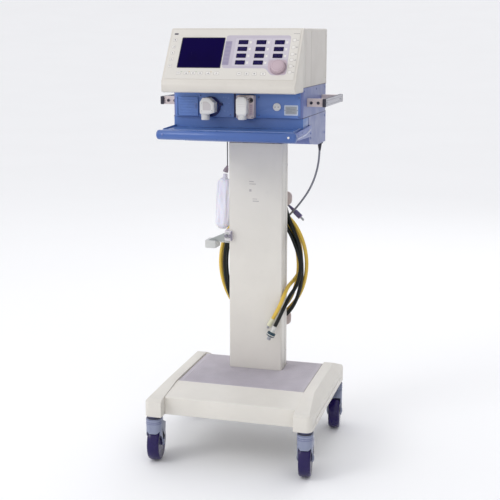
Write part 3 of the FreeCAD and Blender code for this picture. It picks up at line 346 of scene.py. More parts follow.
def round_rect(x0, y0, x1, y1, radius, steps=5):
    points = []
    for cx, cy, start in ((x1 - radius, y1 - radius, 0), (x0 + radius, y1 - radius, 90),
                          (x0 + radius, y0 + radius, 180), (x1 - radius, y0 + radius, 270)):
        for step in range(steps + 1):
            angle = math.radians(start + 90 * step / steps)
            points.append((cx + radius * math.cos(angle), cy + radius * math.sin(angle)))
    return points


def circle(cx, cy, radius, steps=32):
    turns = [2 * math.pi * k / steps for k in range(steps)]
    return [(cx + radius * math.cos(turn), cy + radius * math.sin(turn)) for turn in turns]


def cross_axes(along):
    """The unit vector along a line and two that stand square to it."""
    axis = Vector(along).normalized()
    side = axis.cross(Vector((0, 0, 1)) if abs(axis.z) < 0.9 else Vector((0, 1, 0))).normalized()
    return axis, side, axis.cross(side)


class Shape:
    """Collects closed forms, each with its material, and makes one object of them."""

    def __init__(self):
        self.vertices = []
        self.faces = []
        self.slots = []
        self.materials = []

    def add(self, vertices, faces, material):
        if material not in self.materials:
            self.materials.append(material)
        slot = self.materials.index(material)
        first = len(self.vertices)
        self.vertices += [tuple(c * MM for c in v) for v in vertices]
        self.faces += [[first + index for index in face] for face in faces]
        self.slots += [slot] * len(faces)

    def prism(self, outline, low, high, material, place=upright):
        count = len(outline)
        vertices = [place(a, b, low) for a, b in outline] + [place(a, b, high) for a, b in outline]
        faces = [list(range(count))[::-1], list(range(count, 2 * count))]
        for k in range(count):
            after = (k + 1) % count
            faces.append([k, after, count + after, count + k])
        self.add(vertices, faces, material)

    def block(self, x0, x1, y0, y1, z0, z1, material, place=upright):
        self.prism([(x0, y0), (x1, y0), (x1, y1), (x0, y1)], z0, z1, material, place)

    def rings(self, rings, material, closed=True):
        """A skin over rings with the same number of points, capped at both ends."""
        count = len(rings[0])
        vertices = [point for ring in rings for point in ring]
        faces = []
        for row in range(len(rings) - 1):
            for k in range(count):
                after = (k + 1) % count
                faces.append([row * count + k, row * count + after,
                              (row + 1) * count + after, (row + 1) * count + k])
        if closed:
            faces.append(list(range(count))[::-1])
            faces.append([(len(rings) - 1) * count + k for k in range(count)])
        self.add(vertices, faces, material)

    def lathe(self, profile, start, along, material, steps=40, flute=None):
        """Turns (distance along, radius) pairs about the line from start in the direction along."""
        axis, side, other = cross_axes(along)
        rings = []
        for distance, radius in profile:
            ring = []
            for k in range(steps):
                angle = 2 * math.pi * k / steps
                size = radius * (flute(angle, distance) if flute else 1)
                ring.append(tuple(Vector(start) + axis * distance
                                  + (side * math.cos(angle) + other * math.sin(angle)) * size))
            rings.append(ring)
        self.rings(rings, material)

    def band(self, profile, centre, place, material, steps, flute=None):
        """A closed ring, open in the middle: (height, radius) pairs turned about a centre."""
        count = len(profile)
        vertices, faces = [], []
        for k in range(steps):
            angle = 2 * math.pi * k / steps
            after = (k + 1) % steps
            for j, (height, radius) in enumerate(profile):
                size = radius * (flute(angle, radius) if flute else 1)
                a, b = size * math.cos(angle), size * math.sin(angle)
                vertices.append(place(centre[0] + a, centre[1] + b, height))
                m = (j + 1) % count
                faces.append([k * count + j, k * count + m, after * count + m, after * count + j])
        self.add(vertices, faces, material)

    def border(self, outer, inner, low, high, material, place):
        """A flat frame between two outlines with the same number of points."""
        count = len(outer)
        vertices = [place(a, b, h) for outline in (outer, inner) for h in (low, high) for a, b in outline]
        faces = []
        for k in range(count):
            n = (k + 1) % count
            for row, other in ((0, 1), (3, 2), (1, 3), (2, 0)):
                faces.append([row * count + k, row * count + n, other * count + n, other * count + k])
        self.add(vertices, faces, material)

    def pad(self, x0, y0, x1, y1, radius, low, high, material, place=at_slope, steps=5):
        """A plate with rounded corners."""
        self.prism(round_rect(x0, y0, x1, y1, radius, steps), low, high, material, place)

    def screw(self, centre, along, radius=3.0, material=None):
        """A domed head with a cross recess."""
        material = material or M["steel"]
        profile = [(-0.4, radius), (0.6, radius), (1.3, radius * 0.86), (1.7, radius * 0.55)]
        self.lathe(profile, centre, along, material, 20)
        axis, side, other = cross_axes(along)
        for long_way, short_way in ((side, other), (other, side)):
            corners = [(-1, -1), (1, -1), (1, 1), (-1, 1)]
            base = [Vector(centre) + long_way * a * radius * 0.55 + short_way * b * radius * 0.13
                    for a, b in corners]
            vertices = [tuple(p + axis * 0.9) for p in base] + [tuple(p + axis * 1.78) for p in base]
            self.add(vertices, [[3, 2, 1, 0], [4, 5, 6, 7], [0, 1, 5, 4], [1, 2, 6, 5],
                                [2, 3, 7, 6], [3, 0, 4, 7]], M["dark"])

    def object(self, name, body, bevel=0.0, segments=2, replaces=(), slot=None, angle=32):
        mesh = bpy.data.meshes.new(name)
        mesh.from_pydata(self.vertices, [], self.faces)
        for surface in self.materials:
            mesh.materials.append(surface.material)
        mesh.polygons.foreach_set("material_index", self.slots)
        clean = bmesh.new()
        clean.from_mesh(mesh)
        bmesh.ops.recalc_face_normals(clean, faces=clean.faces)
        clean.to_mesh(mesh)
        clean.free()
        return place_piece(name, mesh, body, bevel, segments, replaces, slot, angle)


def place_piece(name, mesh, body, bevel, segments, replaces, slot, angle=32):
    piece = bpy.data.objects.new(name, mesh)
    bpy.context.collection.objects.link(piece)
    mesh.shade_smooth()
    if bevel:
        edges = piece.modifiers.new("edges", "BEVEL")
        edges.width = bevel * MM
        edges.segments = segments
        edges.limit_method = "ANGLE"
        edges.angle_limit = math.radians(angle)
        edges.harden_normals = True
    else:
        mesh.set_sharp_from_angle(angle=math.radians(angle))
    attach(piece, body)
    if replaces:
        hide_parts(*replaces)
        slot = slot or NODE_SLOT[replaces[0]]
    return piece


def soften(node, surface, bevel):
    """The CAD form with its sharp edges rounded off, in place of the CAD node."""
    mesh = frame["nodes"][node].data.copy()
    mesh.materials.clear()
    mesh.materials.append(surface.material)
    form = bmesh.new()
    form.from_mesh(mesh)
    bmesh.ops.remove_doubles(form, verts=form.verts, dist=2e-6)
    bmesh.ops.dissolve_limit(form, angle_limit=math.radians(0.6), verts=form.verts, edges=form.edges)
    for face in form.faces:
        face.material_index = 0
    form.to_mesh(mesh)
    form.free()
    return place_piece(node + "_form", mesh, NODE_BODY[node], bevel, 3, (node,), None, 24)


def finish_node(node, surface):
    """Keeps a CAD node as it is and gives it its material."""
    data = frame["nodes"][node].data
    data.materials.clear()
    data.materials.append(surface.material)


# --- Camera, light and floor ------------------------------------------------
camera_data = bpy.data.cameras.new("camera")
camera_data.lens = 73.66
camera_data.sensor_width = 36.0
camera = bpy.data.objects.new("camera", camera_data)
camera.location = (0.9153, -3.2427, 1.4023)
camera.rotation_euler = (math.radians(78.0), 0.0, math.radians(15.7))
bpy.context.collection.objects.link(camera)
bpy.context.scene.camera = camera


def area_light(name, place, target, size, power, colour=(1, 1, 1)):
    data = bpy.data.lights.new(name, "AREA")
    data.shape = "DISK"
    data.size = size
    data.energy = power
    data.color = colour
    lamp = bpy.data.objects.new(name, data)
    lamp.location = place
    lamp.rotation_euler = (Vector(target) - Vector(place)).to_track_quat("-Z", "Y").to_euler()
    bpy.context.collection.objects.link(lamp)


area_light("key", (-2.9, -2.9, 3.4), (0, 0, 0.8), 2.0, 46)
area_light("fill", (3.4, -2.2, 1.9), (0, 0, 0.8), 2.6, 3)
area_light("back", (0.6, 3.6, 3.2), (0, 0, 1.0), 2.4, 20)

world = bpy.data.worlds.new("studio")
world.use_nodes = True
world.node_tree.nodes["Background"].inputs["Color"].default_value = (0.97, 0.975, 1.0, 1.0)
sky = world.node_tree.nodes.new("ShaderNodeTexCoord")
sides = world.node_tree.nodes.new("ShaderNodeSeparateXYZ")
falloff = world.node_tree.nodes.new("ShaderNodeMapRange")
world.node_tree.links.new(sky.outputs["Generated"], sides.inputs["Vector"])
world.node_tree.links.new(sides.outputs["X"], falloff.inputs["Value"])
for socket, value in (("From Min", 0.45), ("From Max", 0.85), ("To Min", 1.0), ("To Max", 0.3)):
    falloff.inputs[socket].default_value = value
world.node_tree.links.new(falloff.outputs["Result"], world.node_tree.nodes["Background"].inputs["Strength"])
bpy.context.scene.world = world
bpy.context.scene.view_settings.view_transform = "Standard"

floor_surface = Surface("floor_pale", (0.975, 0.975, 0.98, 1.0), 0.85)
floor_surface.tint(floor_surface.noise(0.8, 3.0), (0.965, 0.965, 0.97, 1.0))
floor_surface.gloss(floor_surface.noise(3.0, 4.0), 0.06)


def make_floor():
    """A pale disc that sweeps up far away, so that no horizon shows."""
    profile = [(0, 0.001), (0, 3.0), (0, 8.0)]
    for step in range(1, 11):
        share = step / 10
        profile.append((3.6 * share ** 2, 8.0 + 32.0 * share))
    steps = 72
    vertices = [(r * math.cos(2 * math.pi * k / steps), r * math.sin(2 * math.pi * k / steps), h)
                for h, r in profile for k in range(steps)]
    faces = [[row * steps + k, row * steps + (k + 1) % steps, (row + 1) * steps + (k + 1) % steps,
              (row + 1) * steps + k] for row in range(len(profile) - 1) for k in range(steps)]
    mesh = bpy.data.meshes.new("floor")
    mesh.from_pydata(vertices, [], faces)
    mesh.materials.append(floor_surface.material)
    mesh.shade_smooth()
    floor = bpy.data.objects.new("floor", mesh)
    bpy.context.collection.objects.link(floor)


make_floor()


# --- Hoses and lead ---------------------------------------------------------
YELLOW_DROP = [(48, 198, 1015), (48, 198, 962), (49, 198, 908), (52, 197, 855), (62, 195, 810),
               (84, 194, 775)]
YELLOW_TAIL = [(137, 197, 622), (135, 197, 592), (126, 185, 565), (115, 162, 548), (108, 131, 540),
               (105, 98, 527), (100, 70, 503), (88, 58, 469), (62, 66, 423)]
GREEN_DROP = [(72, 176, 1015), (72, 176, 960), (73, 176, 908), (75, 176, 862), (80, 175, 820),
              (92, 174, 778)]
GREEN_TAIL = [(141, 174, 610), (140, 164, 578), (136, 151, 548), (128, 131, 526), (118, 106, 510),
              (107, 77, 479), (92, 58, 440), (73, 49, 398)]
LEAD_DROP = [(200, 182, 1020), (199, 182, 985), (192, 187, 945), (179, 195, 905), (160, 205, 866),
             (135, 216, 830), (106, 226, 794), (76, 231, 762), (46, 232, 733)]
LEAD_TAIL = [(4, 232, 802), (30, 238, 821), (60, 248, 818), (82, 252, 796)]
HOSE_DIAMETER = 13.0
LEAD_DIAMETER = 7.0
LOOP_CENTRE = (-3.0, 598.0)
LOOP_HALF = (144.0, 207.0)
POINTS_PER_TURN = 20


def eased(stops, turn):
    """Smooth values between stops of (turn, value, value)."""
    for first, second in zip(stops, stops[1:]):
        if turn <= second[0]:
            share = (turn - first[0]) / (second[0] - first[0])
            share = share * share * (3 - 2 * share)
            return [a + (b - a) * share for a, b in zip(first[1:], second[1:])]
    return list(stops[-1][1:])


def loop_points(start, end, stops):
    """Turns of a hose round its oval, clockwise from the front; each stop is (angle, how far out, y)."""
    count = round((start - end) / 360 * POINTS_PER_TURN)
    ordered = [(-angle, outwards, y) for angle, outwards, y in stops]
    points = []
    for k in range(1, count):
        angle = start + (end - start) * k / count
        outwards, y = eased(ordered, -angle)
        turn = math.radians(angle)
        points.append((LOOP_CENTRE[0] + (LOOP_HALF[0] + outwards) * math.cos(turn), y,
                       LOOP_CENTRE[1] + (LOOP_HALF[1] + outwards) * math.sin(turn)))
    return points


YELLOW_STOPS = [(60, 14, 190), (0, 20, 187), (-25, 12, 200), (-50, 4, 200), (-90, 6, 201), (-135, 13, 196),
                (-180, 13, 186), (-270, 0, 193), (-330, -12, 191), (-400, -12, 191), (-450, -12, 195),
                (-495, -6, 199), (-540, 6, 200), (-630, 13, 202), (-690, 1, 200), (-716, 1, 200)]
GREEN_STOPS = [(54, 4, 174), (15, 3, 172.5), (-20, 7, 172.5), (-45, 15, 173), (-100, 8, 173),
               (-180, -7, 173), (-270, 8, 180), (-325, 1, 186), (-360, 1, 186), (-385, 8, 186),
               (-410, 14, 187), (-450, 6, 187), (-495, -6, 186), (-540, -10, 186), (-630, -9, 180),
               (-680, -12, 174), (-702, -7, 166), (-718, 0, 161)]


def coil_points():
    """The put-away lead: a flat spiral inwards and another outwards behind it."""
    centre = (10.0, 760.0)
    start, end = -40.0, 98.0 - 360.0 * 7
    stops = [(0.0, 45.0, 231.0), (0.08, 56.0, 227.5), (0.46, 36.0, 227.5), (0.54, 36.0, 236.0),
             (0.92, 56.0, 236.0), (1.0, 43.0, 234.0)]
    count = round((start - end) / 360 * POINTS_PER_TURN)
    points = []
    for k in range(1, count - 1):
        share = k / count
        angle = math.radians(start + (end - start) * share)
        radius, y = eased(stops, share)
        points.append((centre[0] + radius * math.cos(angle), y, centre[1] + radius * math.sin(angle)))
    return points


def cord_object(name, points, diameter, surface, nodes):
    curve = bpy.data.curves.new(name, "CURVE")
    curve.dimensions = "3D"
    spline = curve.splines.new("NURBS")
    spline.points.add(len(points) - 1)
    for point, place in zip(spline.points, points):
        point.co = (*(c * MM for c in place), 1.0)
    spline.order_u = 3
    spline.use_endpoint_u = True
    spline.resolution_u = 6
    curve.bevel_depth = diameter / 2 * MM
    curve.bevel_resolution = 5
    curve.use_fill_caps = True
    curve.materials.append(surface.material)
    piece = bpy.data.objects.new(name, curve)
    bpy.context.collection.objects.link(piece)
    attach(piece, "root")
    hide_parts(*nodes)
    return piece


def spline_length(piece):
    """Length of a cord's own line in metres."""
    curve = piece.data.copy()
    curve.bevel_depth = 0.0
    bare = bpy.data.objects.new("measure", curve)
    mesh = bpy.data.meshes.new_from_object(bare)
    points = [vertex.co for vertex in mesh.vertices]
    total = sum((points[edge.vertices[0]] - points[edge.vertices[1]]).length for edge in mesh.edges)
    bpy.data.meshes.remove(mesh)
    bpy.data.objects.remove(bare)
    bpy.data.curves.remove(curve)
    return total


yellow_hose = cord_object("hose_air", YELLOW_DROP + loop_points(60, -716, YELLOW_STOPS) + YELLOW_TAIL,
                          HOSE_DIAMETER, M["hose_yellow"], ("yellow_hose", "yellow_coil"))
green_hose = cord_object("hose_oxygen", GREEN_DROP + loop_points(54, -718, GREEN_STOPS) + GREEN_TAIL,
                         HOSE_DIAMETER, M["hose_green"], ("green_hose", "green_coil"))
mains_lead = cord_object("lead_mains", LEAD_DROP + coil_points() + LEAD_TAIL, LEAD_DIAMETER, M["lead"],
                         ("mains_lead", "mains_coil"))


def end_frame(points):
    """The last point of a route and the direction in which it ends."""
    last, before = Vector(points[-1]), Vector(points[-2])
    return last, (last - before).normalized()


def make_probe(name, points, node, body_radius, length, body_surface, grip_surface):
    """A crimped sleeve, a ribbed grip and a stepped metal nose."""
    start, along = end_frame(points)
    shape = Shape()
    sleeve = [(-14, 7.2), (-13, 8.0), (-3, 8.0)]
    for k in range(3):
        sleeve += [(-2.5 + 3 * k, 7.4), (-1 + 3 * k, 8.0)]
    sleeve += [(8.5, 8.0), (9.5, 6.6)]
    shape.lathe(sleeve, start, along, body_surface, 32)
    r = body_radius
    body = [(8.6, r * 0.72), (10, r * 0.94), (11.5, r), (9 + length - 3, r), (9 + length - 1, r * 0.95),
            (9 + length, r * 0.8)]
    shape.lathe(body, start, along, grip_surface, 48, lambda a, d: 1 + 0.035 * math.cos(14 * a))
    collar = [(11 + length * 0.42, r * 1.05), (11.4 + length * 0.42, r * 1.08),
              (13.4 + length * 0.42, r * 1.08), (14 + length * 0.42, r * 1.05)]
    shape.lathe(collar, start, along, body_surface, 40)
    tip = 22 + length
    nose = [(8 + length, r * 0.5), (tip - 8, r * 0.5), (tip - 7.4, r * 0.42), (tip - 5.6, r * 0.42),
            (tip - 5, r * 0.5), (tip - 1.5, r * 0.5), (tip, r * 0.4)]
    shape.lathe(nose, start, along, M["steel"], 32)
    return shape.object(name, "root", 0.25, 1, (node,))


yellow_probe = make_probe("probe_air", YELLOW_TAIL, "yellow_probe", 8, 8, M["pale"], M["pale"])
green_probe = make_probe("probe_oxygen", GREEN_TAIL, "green_probe", 14, 16, M["sleeve"], M["teal"])


def make_plug():
    start, along = end_frame(LEAD_TAIL)
    shape = Shape()
    relief = []
    for k in range(6):
        start_of_rib, thicker = 4.6 * k, 0.5 * k
        relief += [(start_of_rib - 6, 4.4 + thicker), (start_of_rib - 3.8, 4.5 + thicker),
                   (start_of_rib - 3.6, 3.8 + thicker), (start_of_rib - 1.8, 3.9 + thicker)]
    shape.lathe(relief, start, along, M["plug"], 28)
    body = [(20, 6.8), (22, 8.4), (26, 9.3), (34, 9.5), (46, 9.5), (50, 9.2)]
    shape.lathe(body, start, along, M["plug"], 44,
                lambda a, d: 1 - 0.05 * (1 if 24 < d < 48 and math.cos(8 * a) > 0.3 else 0))
    shape.lathe([(49.6, 9.2), (50.0, 9.7), (51.6, 9.7), (52.0, 9.0)], start, along, M["plug_face"], 40)
    side = Vector((0, 1, 0)) - along * along.y
    side.normalize()
    for sign in (-1, 1):
        shape.lathe([(51, 2.4), (65, 2.4), (67, 1.9), (68, 0.9)], start + side * sign * 5, along,
                    M["steel"], 20)
    return shape.object("plug_mains", "root", 0.2, 1, ("mains_plug",))


plug = make_plug()


def make_gland():
    x, y, z = LEAD_DROP[0]
    shape = Shape()
    shape.lathe([(0, 10.5), (1, 11.0), (5, 11.0), (5.6, 10.4)], (x, y, 1038.6), DOWN, M["dark"], 6)
    relief = [(4, 7.6)]
    for k in range(6):
        radius = 7.2 - 0.55 * k
        relief += [(7 + 3.6 * k, radius), (9 + 3.6 * k, radius), (9.3 + 3.6 * k, radius - 0.9),
                   (10.3 + 3.6 * k, radius - 0.9)]
    relief += [(30, 4.2)]
    shape.lathe(relief, (x, y, 1038.6), DOWN, M["dark"], 28)
    return shape.object("relief_mains", "root", 0.2, 1, ("mains_gland",))


relief = make_gland()

[c * MM for c in YELLOW_DROP[0]]
round(spline_length(yellow_hose), 2)
[c * MM for c in GREEN_DROP[0]]
round(spline_length(green_hose), 2)
[c * MM for c in LEAD_DROP[0]]
round(spline_length(mains_lead), 2)

# --- Base and casters --------------------------------------------------------
CASTER_AT = (256.0, 250.0)
CASTER_TURN = 8
TRAIL = 28
WHEEL_RADIUS = 62.5


def turned(x, y, degrees):
    angle = math.radians(degrees)
    return (x * math.cos(angle) - y * math.sin(angle), x * math.sin(angle) + y * math.cos(angle))


def caster_frame(side, end):
    """The caster's own axes at rest: x along its axle, y towards its trailing side."""
    turn = CASTER_TURN + (180 if end > 0 else 0)

    def place(x, y, z):
        a, b = turned(x, y, turn)
        return (side * CASTER_AT[0] + a, end * CASTER_AT[1] + b, z)

    across = (*turned(1, 0, turn), 0)
    return place, across


def scuffed_tread(angle, distance):
    return 1 + 0.0012 * math.sin(3 * angle + 0.4)


for corner, side, end in (("fl", -1, -1), ("fr", 1, -1), ("rl", -1, 1), ("rr", 1, 1)):
    place, across = caster_frame(side, end)
    hub = place(0, TRAIL, WHEEL_RADIUS)
    wheel = Shape()
    tread = [(-19, 49), (-20, 54), (-19.5, 57)]
    for k in range(13):
        angle = math.radians(-78 + 13 * k)
        tread.append((19.2 * math.sin(angle), 55.4 + 7.1 * math.cos(angle) ** 0.7))
    tread += [(19.5, 57), (20, 54), (19, 49)]
    wheel.lathe(tread, hub, across, M["wheel"], 96, scuffed_tread)
    rim = [(-20, 5), (-20, 12), (-18.5, 14), (-12, 16), (-10.5, 24), (-10.5, 36), (-15, 41), (-16.5, 43),
           (-16.5, 49.5), (16.5, 49.5), (16.5, 43), (15, 41), (10.5, 36), (10.5, 24), (12, 16), (18.5, 14),
           (20, 12), (20, 5)]
    wheel.lathe(rim, hub, across, M["rim"], 72)
    for k in range(6):
        angle = math.radians(60 * k)
        for face in (-1, 1):
            a, b = 30 * math.cos(angle), 30 * math.sin(angle)
            wheel.lathe([(10.2, 5.5), (11.6, 5.2), (11.8, 3)], place(0, TRAIL + a, WHEEL_RADIUS + b),
                        tuple(c * face for c in across), M["wheel"], 16)
    wheel.object("wheel_" + corner + "_form", "wheel_" + corner, 0.4, 1, ("wheel_" + corner,))

    trim = Shape()
    for z, radius in ((153.5, 25.4), (145.0, 25.6), (139.0, 25.6)):
        rings = []
        for height, grow in ((-1.1, -0.3), (-0.7, 0.45), (0.7, 0.45), (1.1, -0.3)):
            outline = round_rect(-radius - grow, -24.1 - grow, radius + grow, 20 + grow, 21 + grow, 8)
            rings.append([place(a, b, z + height) for a, b in outline])
        trim.rings(rings, M["fork_line"])
    for face in (-1, 1):
        way = tuple(c * face for c in across)
        trim.lathe([(25.1, 9.5), (26.2, 9.5), (26.9, 8.6), (27.4, 8.6), (27.9, 7.4), (27.9, 3)], hub, way,
                   M["fork"], 36)
        trim.lathe([(27.6, 4.6), (28.2, 4.4), (28.6, 3.4)], hub, way, M["steel"], 6)
    trim.object("fork_" + corner + "_trim", "caster_" + corner, 0.25, 1, (), "fork")

    collar = Shape()
    collar.lathe([(0, 22), (0.6, 23.6), (3.2, 23.6), (4, 22.6)],
                 (side * CASTER_AT[0], end * CASTER_AT[1], 157.2), (0, 0, 1), M["dark"], 48)
    collar.object("collar_" + corner + "_band", "root", 0.2, 1, (), "collar")

    if end < 0:
        grip = Shape()
        for k in range(6):
            y = 44 + 4.2 * k
            z = 150.2 + 0.325 * (y - 35) - 0.6
            grip.prism([place(-12.5, y, 0)[:2], place(12.5, y, 0)[:2], place(12.5, y + 1.8, 0)[:2],
                        place(-12.5, y + 1.8, 0)[:2]], z, z + 1.6, M["pedal"])
        grip.object("pedal_" + corner + "_ribs", "pedal_" + corner, 0.3, 1, (), "pedal")


def make_base_trim():
    shape = Shape()
    for side in (-1, 1):
        x0, x1 = (281.4, 284.6) if side > 0 else (-284.6, -281.4)
        outline = round_rect(-214, 181.5, 214, 190.5, 4.2, 6)
        shape.prism(outline, x0, x1, M["bumper"], sideways)
    return shape.object("leg_bumpers", "root", 0.8, 3, (), "offwhite")


def make_mat_ribs():
    """Fine upright ribs along the mat, left out where the column stands."""
    shape = Shape()
    pitch = 6.6
    count = int(404 / pitch)
    for k in range(count + 1):
        x = -202 + pitch * k
        runs = [(-108, 195)] if abs(x) > 97.5 else [(-108, 78)]
        if abs(x) < 88:
            runs.append((190, 195))
        elif abs(x) <= 97.5:
            runs.append((165, 195))
        for y0, y1 in runs:
            shape.block(x - 1.1, x + 1.1, y0, y1, 241.8, 242.7, M["mat"])
    return shape.object("mat_ribs", "root", 0, 1, (), "mat")


def make_column_trim():
    shape = Shape()
    for side in (-1, 1):
        x = side * COLUMN_SIDE
        low, high = sorted((x - side * 0.6, x + side * 0.12))
        # a dark strip down each side of the column: painted shadow in the seam
        shape.block(low, high, 131.3, 132.7, 243, 1037, M["shadow"])
        for z in (300, 520, 740, 960):
            shape.screw((x, 146, z), (side, 0, 0), 3.2, M["cover"])
    for x0, x1, z0, z1 in ((-22, -6, 905, 908), (-22, 2, 897, 899.5), (-22, -14, 872, 880),
                           (-10, 12, 838, 841), (-10, 6, 846, 848)):
        shape.block(x0, x1, z0, z1, COLUMN_FRONT - 0.18, COLUMN_FRONT + 0.2, M["print_grey"], facing)
    return shape.object("column_trim", "root", 0, 1, (), "offwhite")


make_base_trim()
make_mat_ribs()
make_column_trim()


# --- Control panel -----------------------------------------------------------
def rounded(outline, radius, steps=5):
    """The outline with each corner rounded off."""
    points = []
    for k, corner in enumerate(outline):
        here = Vector(corner)
        to_last = (Vector(outline[k - 1]) - here)
        to_next = (Vector(outline[(k + 1) % len(outline)]) - here)
        reach = min(radius, to_last.length * 0.45, to_next.length * 0.45)
        start = here + to_last.normalized() * reach
        end = here + to_next.normalized() * reach
        for step in range(steps + 1):
            t = step / steps
            points.append(tuple(start * (1 - t) ** 2 + here * 2 * t * (1 - t) + end * t * t))
    return points


WINDOW_COLUMNS = ((14.5, 4), (71.5, 4), (129.5, 3))
WINDOW_TOP_ROW = 132.0
WINDOW_PITCH = 24.2
WINDOW_SIZE = (30.0, 14.6)
WINDOW_PLACES = [(left, WINDOW_TOP_ROW - row * WINDOW_PITCH)
                 for left, rows in WINDOW_COLUMNS for row in range(rows)]
SCREEN = (-169.5, 47.5, -31.5, 154.5)
KNOB = (152.6, 49.2)
KEY_BASE = 1.2
LEGEND_HEIGHT = 0.08


def make_legend(shape, kind, u, v, size, w, material):
    """A plain generic sign on a key: bars, a triangle, a ring, steps or a cross."""
    def bar(x, y, half_width, half_height):
        shape.block(x - half_width, x + half_width, y - half_height, y + half_height, w, w + LEGEND_HEIGHT,
                    material, at_slope)

    if kind == 0:
        bar(u, v, size, size * 0.18)
    elif kind == 1:
        outline = [(u - size * 0.7, v - size * 0.6), (u + size * 0.7, v - size * 0.6), (u, v + size * 0.7)]
        shape.prism(outline, w, w + LEGEND_HEIGHT, material, at_slope)
    elif kind == 2:
        shape.prism(circle(u, v, size * 0.55, 20), w, w + LEGEND_HEIGHT, material, at_slope)
    elif kind == 3:
        for side in (-1, 1):
            bar(u, v + side * size * 0.35, size * 0.8, 0.5)
    elif kind == 4:
        for k in range(3):
            half_height = size * 0.2 * (k + 1)
            bar(u + (k - 1) * size * 0.6, v - size * 0.6 + half_height, 0.7, half_height)
    else:
        bar(u, v, size * 0.7, 0.5)
        bar(u, v, 0.5, size * 0.7)


def make_key(shape, u, v, width, height, kind=None, legend=None):
    a, b = width / 2, height / 2
    shape.pad(u - a - 0.9, v - b - 0.9, u + a + 0.9, v + b + 0.9, 2.2, KEY_BASE - 0.2, KEY_BASE + 0.1,
              M["key_outline"])
    shape.pad(u - a, v - b, u + a, v + b, 1.7, KEY_BASE, KEY_BASE + 0.32, M["key"])
    if kind is not None:
        make_legend(shape, kind, u, v, min(width, height) * 0.38, KEY_BASE + 0.3, legend or M["legend"])


def make_panel_print():
    shape = Shape()
    field = rounded([(-27, 164), (177, 164), (179.5, 25), (133, 22.5), (112, 47), (-25, 46)], 9)
    shape.prism(field, 1.0, 1.3, M["field"], at_slope)
    pad = rounded([(119, 76), (176, 77), (177.5, 27), (135, 25), (119, 46)], 9)
    shape.prism(pad, 1.1, 1.36, M["field_edge"], at_slope)
    shape.pad(-27.5, 57, -6, 143, 2.5, 1.1, 1.42, M["strip"])
    for k in range(6):
        v = 65 + 14.1 * k
        shape.pad(-24.5, v - 5, -9, v + 5, 1.6, 1.3, 1.66, M["strip_key"])
    for left, rows in WINDOW_COLUMNS:
        low = WINDOW_TOP_ROW - WINDOW_PITCH * (rows - 1) - 5
        shape.pad(left - 9.7, low, left + 46.7, 153, 3, 1.1, 1.36, M["field_light"])
    for left, low in WINDOW_PLACES:
        make_key(shape, left + 38.3, low + 7.3, 6.4, 9.5)
        shape.block(left + 36.3, left + 40.3, low + 10.9, low + 11.5, 1.5, 1.6, M["legend"], at_slope)
    return shape.object("panel_print", "root", 0.12, 1, (), "overlay")


def make_panel_keys():
    shape = Shape()
    for k, v in enumerate((147, 121.6, 100, 77, 53)):
        make_key(shape, -194, v, 10.5, 9.5, (2, 4, 1, 3, 5)[k], M["legend_dark"] if k == 0 else None)
    shape.pad(-200, 166, -186.5, 171.5, 2.4, 1.0, 1.4, M["legend_dark"])
    for k, v in enumerate((147, 122, 97.5, 77, 55, 34)):
        make_key(shape, 189.3, v, 9.2, 10)
        make_legend(shape, (0, 3, 3, 4, 5, 0)[k], 199.6, v, 3.2, 1.16, M["legend"])
    shape.block(184, 203, 169.6, 170.6, 1.0, 1.3, M["legend"], at_slope)
    for k, u in enumerate((-161, -136, -114, -91, -66, -39, 33, 57, 81, 108)):
        make_key(shape, u, 27.5, 15 if k in (5, 9) else 13, 10, k % 6, M["legend_dark"] if k == 3 else None)
    for k, u in enumerate((-161, -136, -114, -66)):
        shape.prism(circle(u + 9.4, 32.6, 1.2, 16), 1.15, 1.5,
                    M["lamp_amber"] if k % 2 else M["lamp_green"], at_slope)
    return shape.object("panel_keys", "root", 0.15, 1, (), "overlay")


def make_windows():
    shape = Shape()
    for left, low in WINDOW_PLACES:
        right, high = left + WINDOW_SIZE[0], low + WINDOW_SIZE[1]
        outer = round_rect(left - 0.6, low - 0.6, right + 0.6, high + 0.6, 1.8)
        shape.prism(outer, 0.4, 1.5, M["window_edge"], at_slope)
        shape.prism(round_rect(left + 0.6, low + 0.6, right - 0.6, high - 0.6, 1.2), 1.2, 1.72, M["screen"],
                    at_slope)
        for k in range(3):
            cell = left + 4.1 + 8.4 * k
            for a0, a1, b0, b1 in ((0, 4.6, 0, 0.7), (0, 4.6, 5.2, 5.9), (0, 4.6, 10.4, 11.1),
                                   (-0.7, 0, 0.6, 5.3), (-0.7, 0, 5.8, 10.5), (4.6, 5.3, 0.6, 5.3),
                                   (4.6, 5.3, 5.8, 10.5)):
                shape.block(cell + a0, cell + a1, low + 1.8 + b0, low + 1.8 + b1, 1.6, 1.76,
                            M["segment_off"], at_slope)
    return shape.object("window_panes", "root", 0.15, 1, ("parameter_windows",))


def make_screen():
    shape = Shape()
    left, low, right, high = SCREEN
    outer = round_rect(left - 1.4, low - 1.4, right + 1.4, high + 1.4, 3)
    inner = round_rect(left + 0.8, low + 0.8, right - 0.8, high - 0.8, 2)
    shape.border(outer, inner, 0.6, 1.9, M["window_edge"], at_slope)
    shape.prism(inner, 0.2, 1.25, M["screen"], at_slope)
    return shape.object("screen_glass", "root", 0.3, 2, ("display_window",))


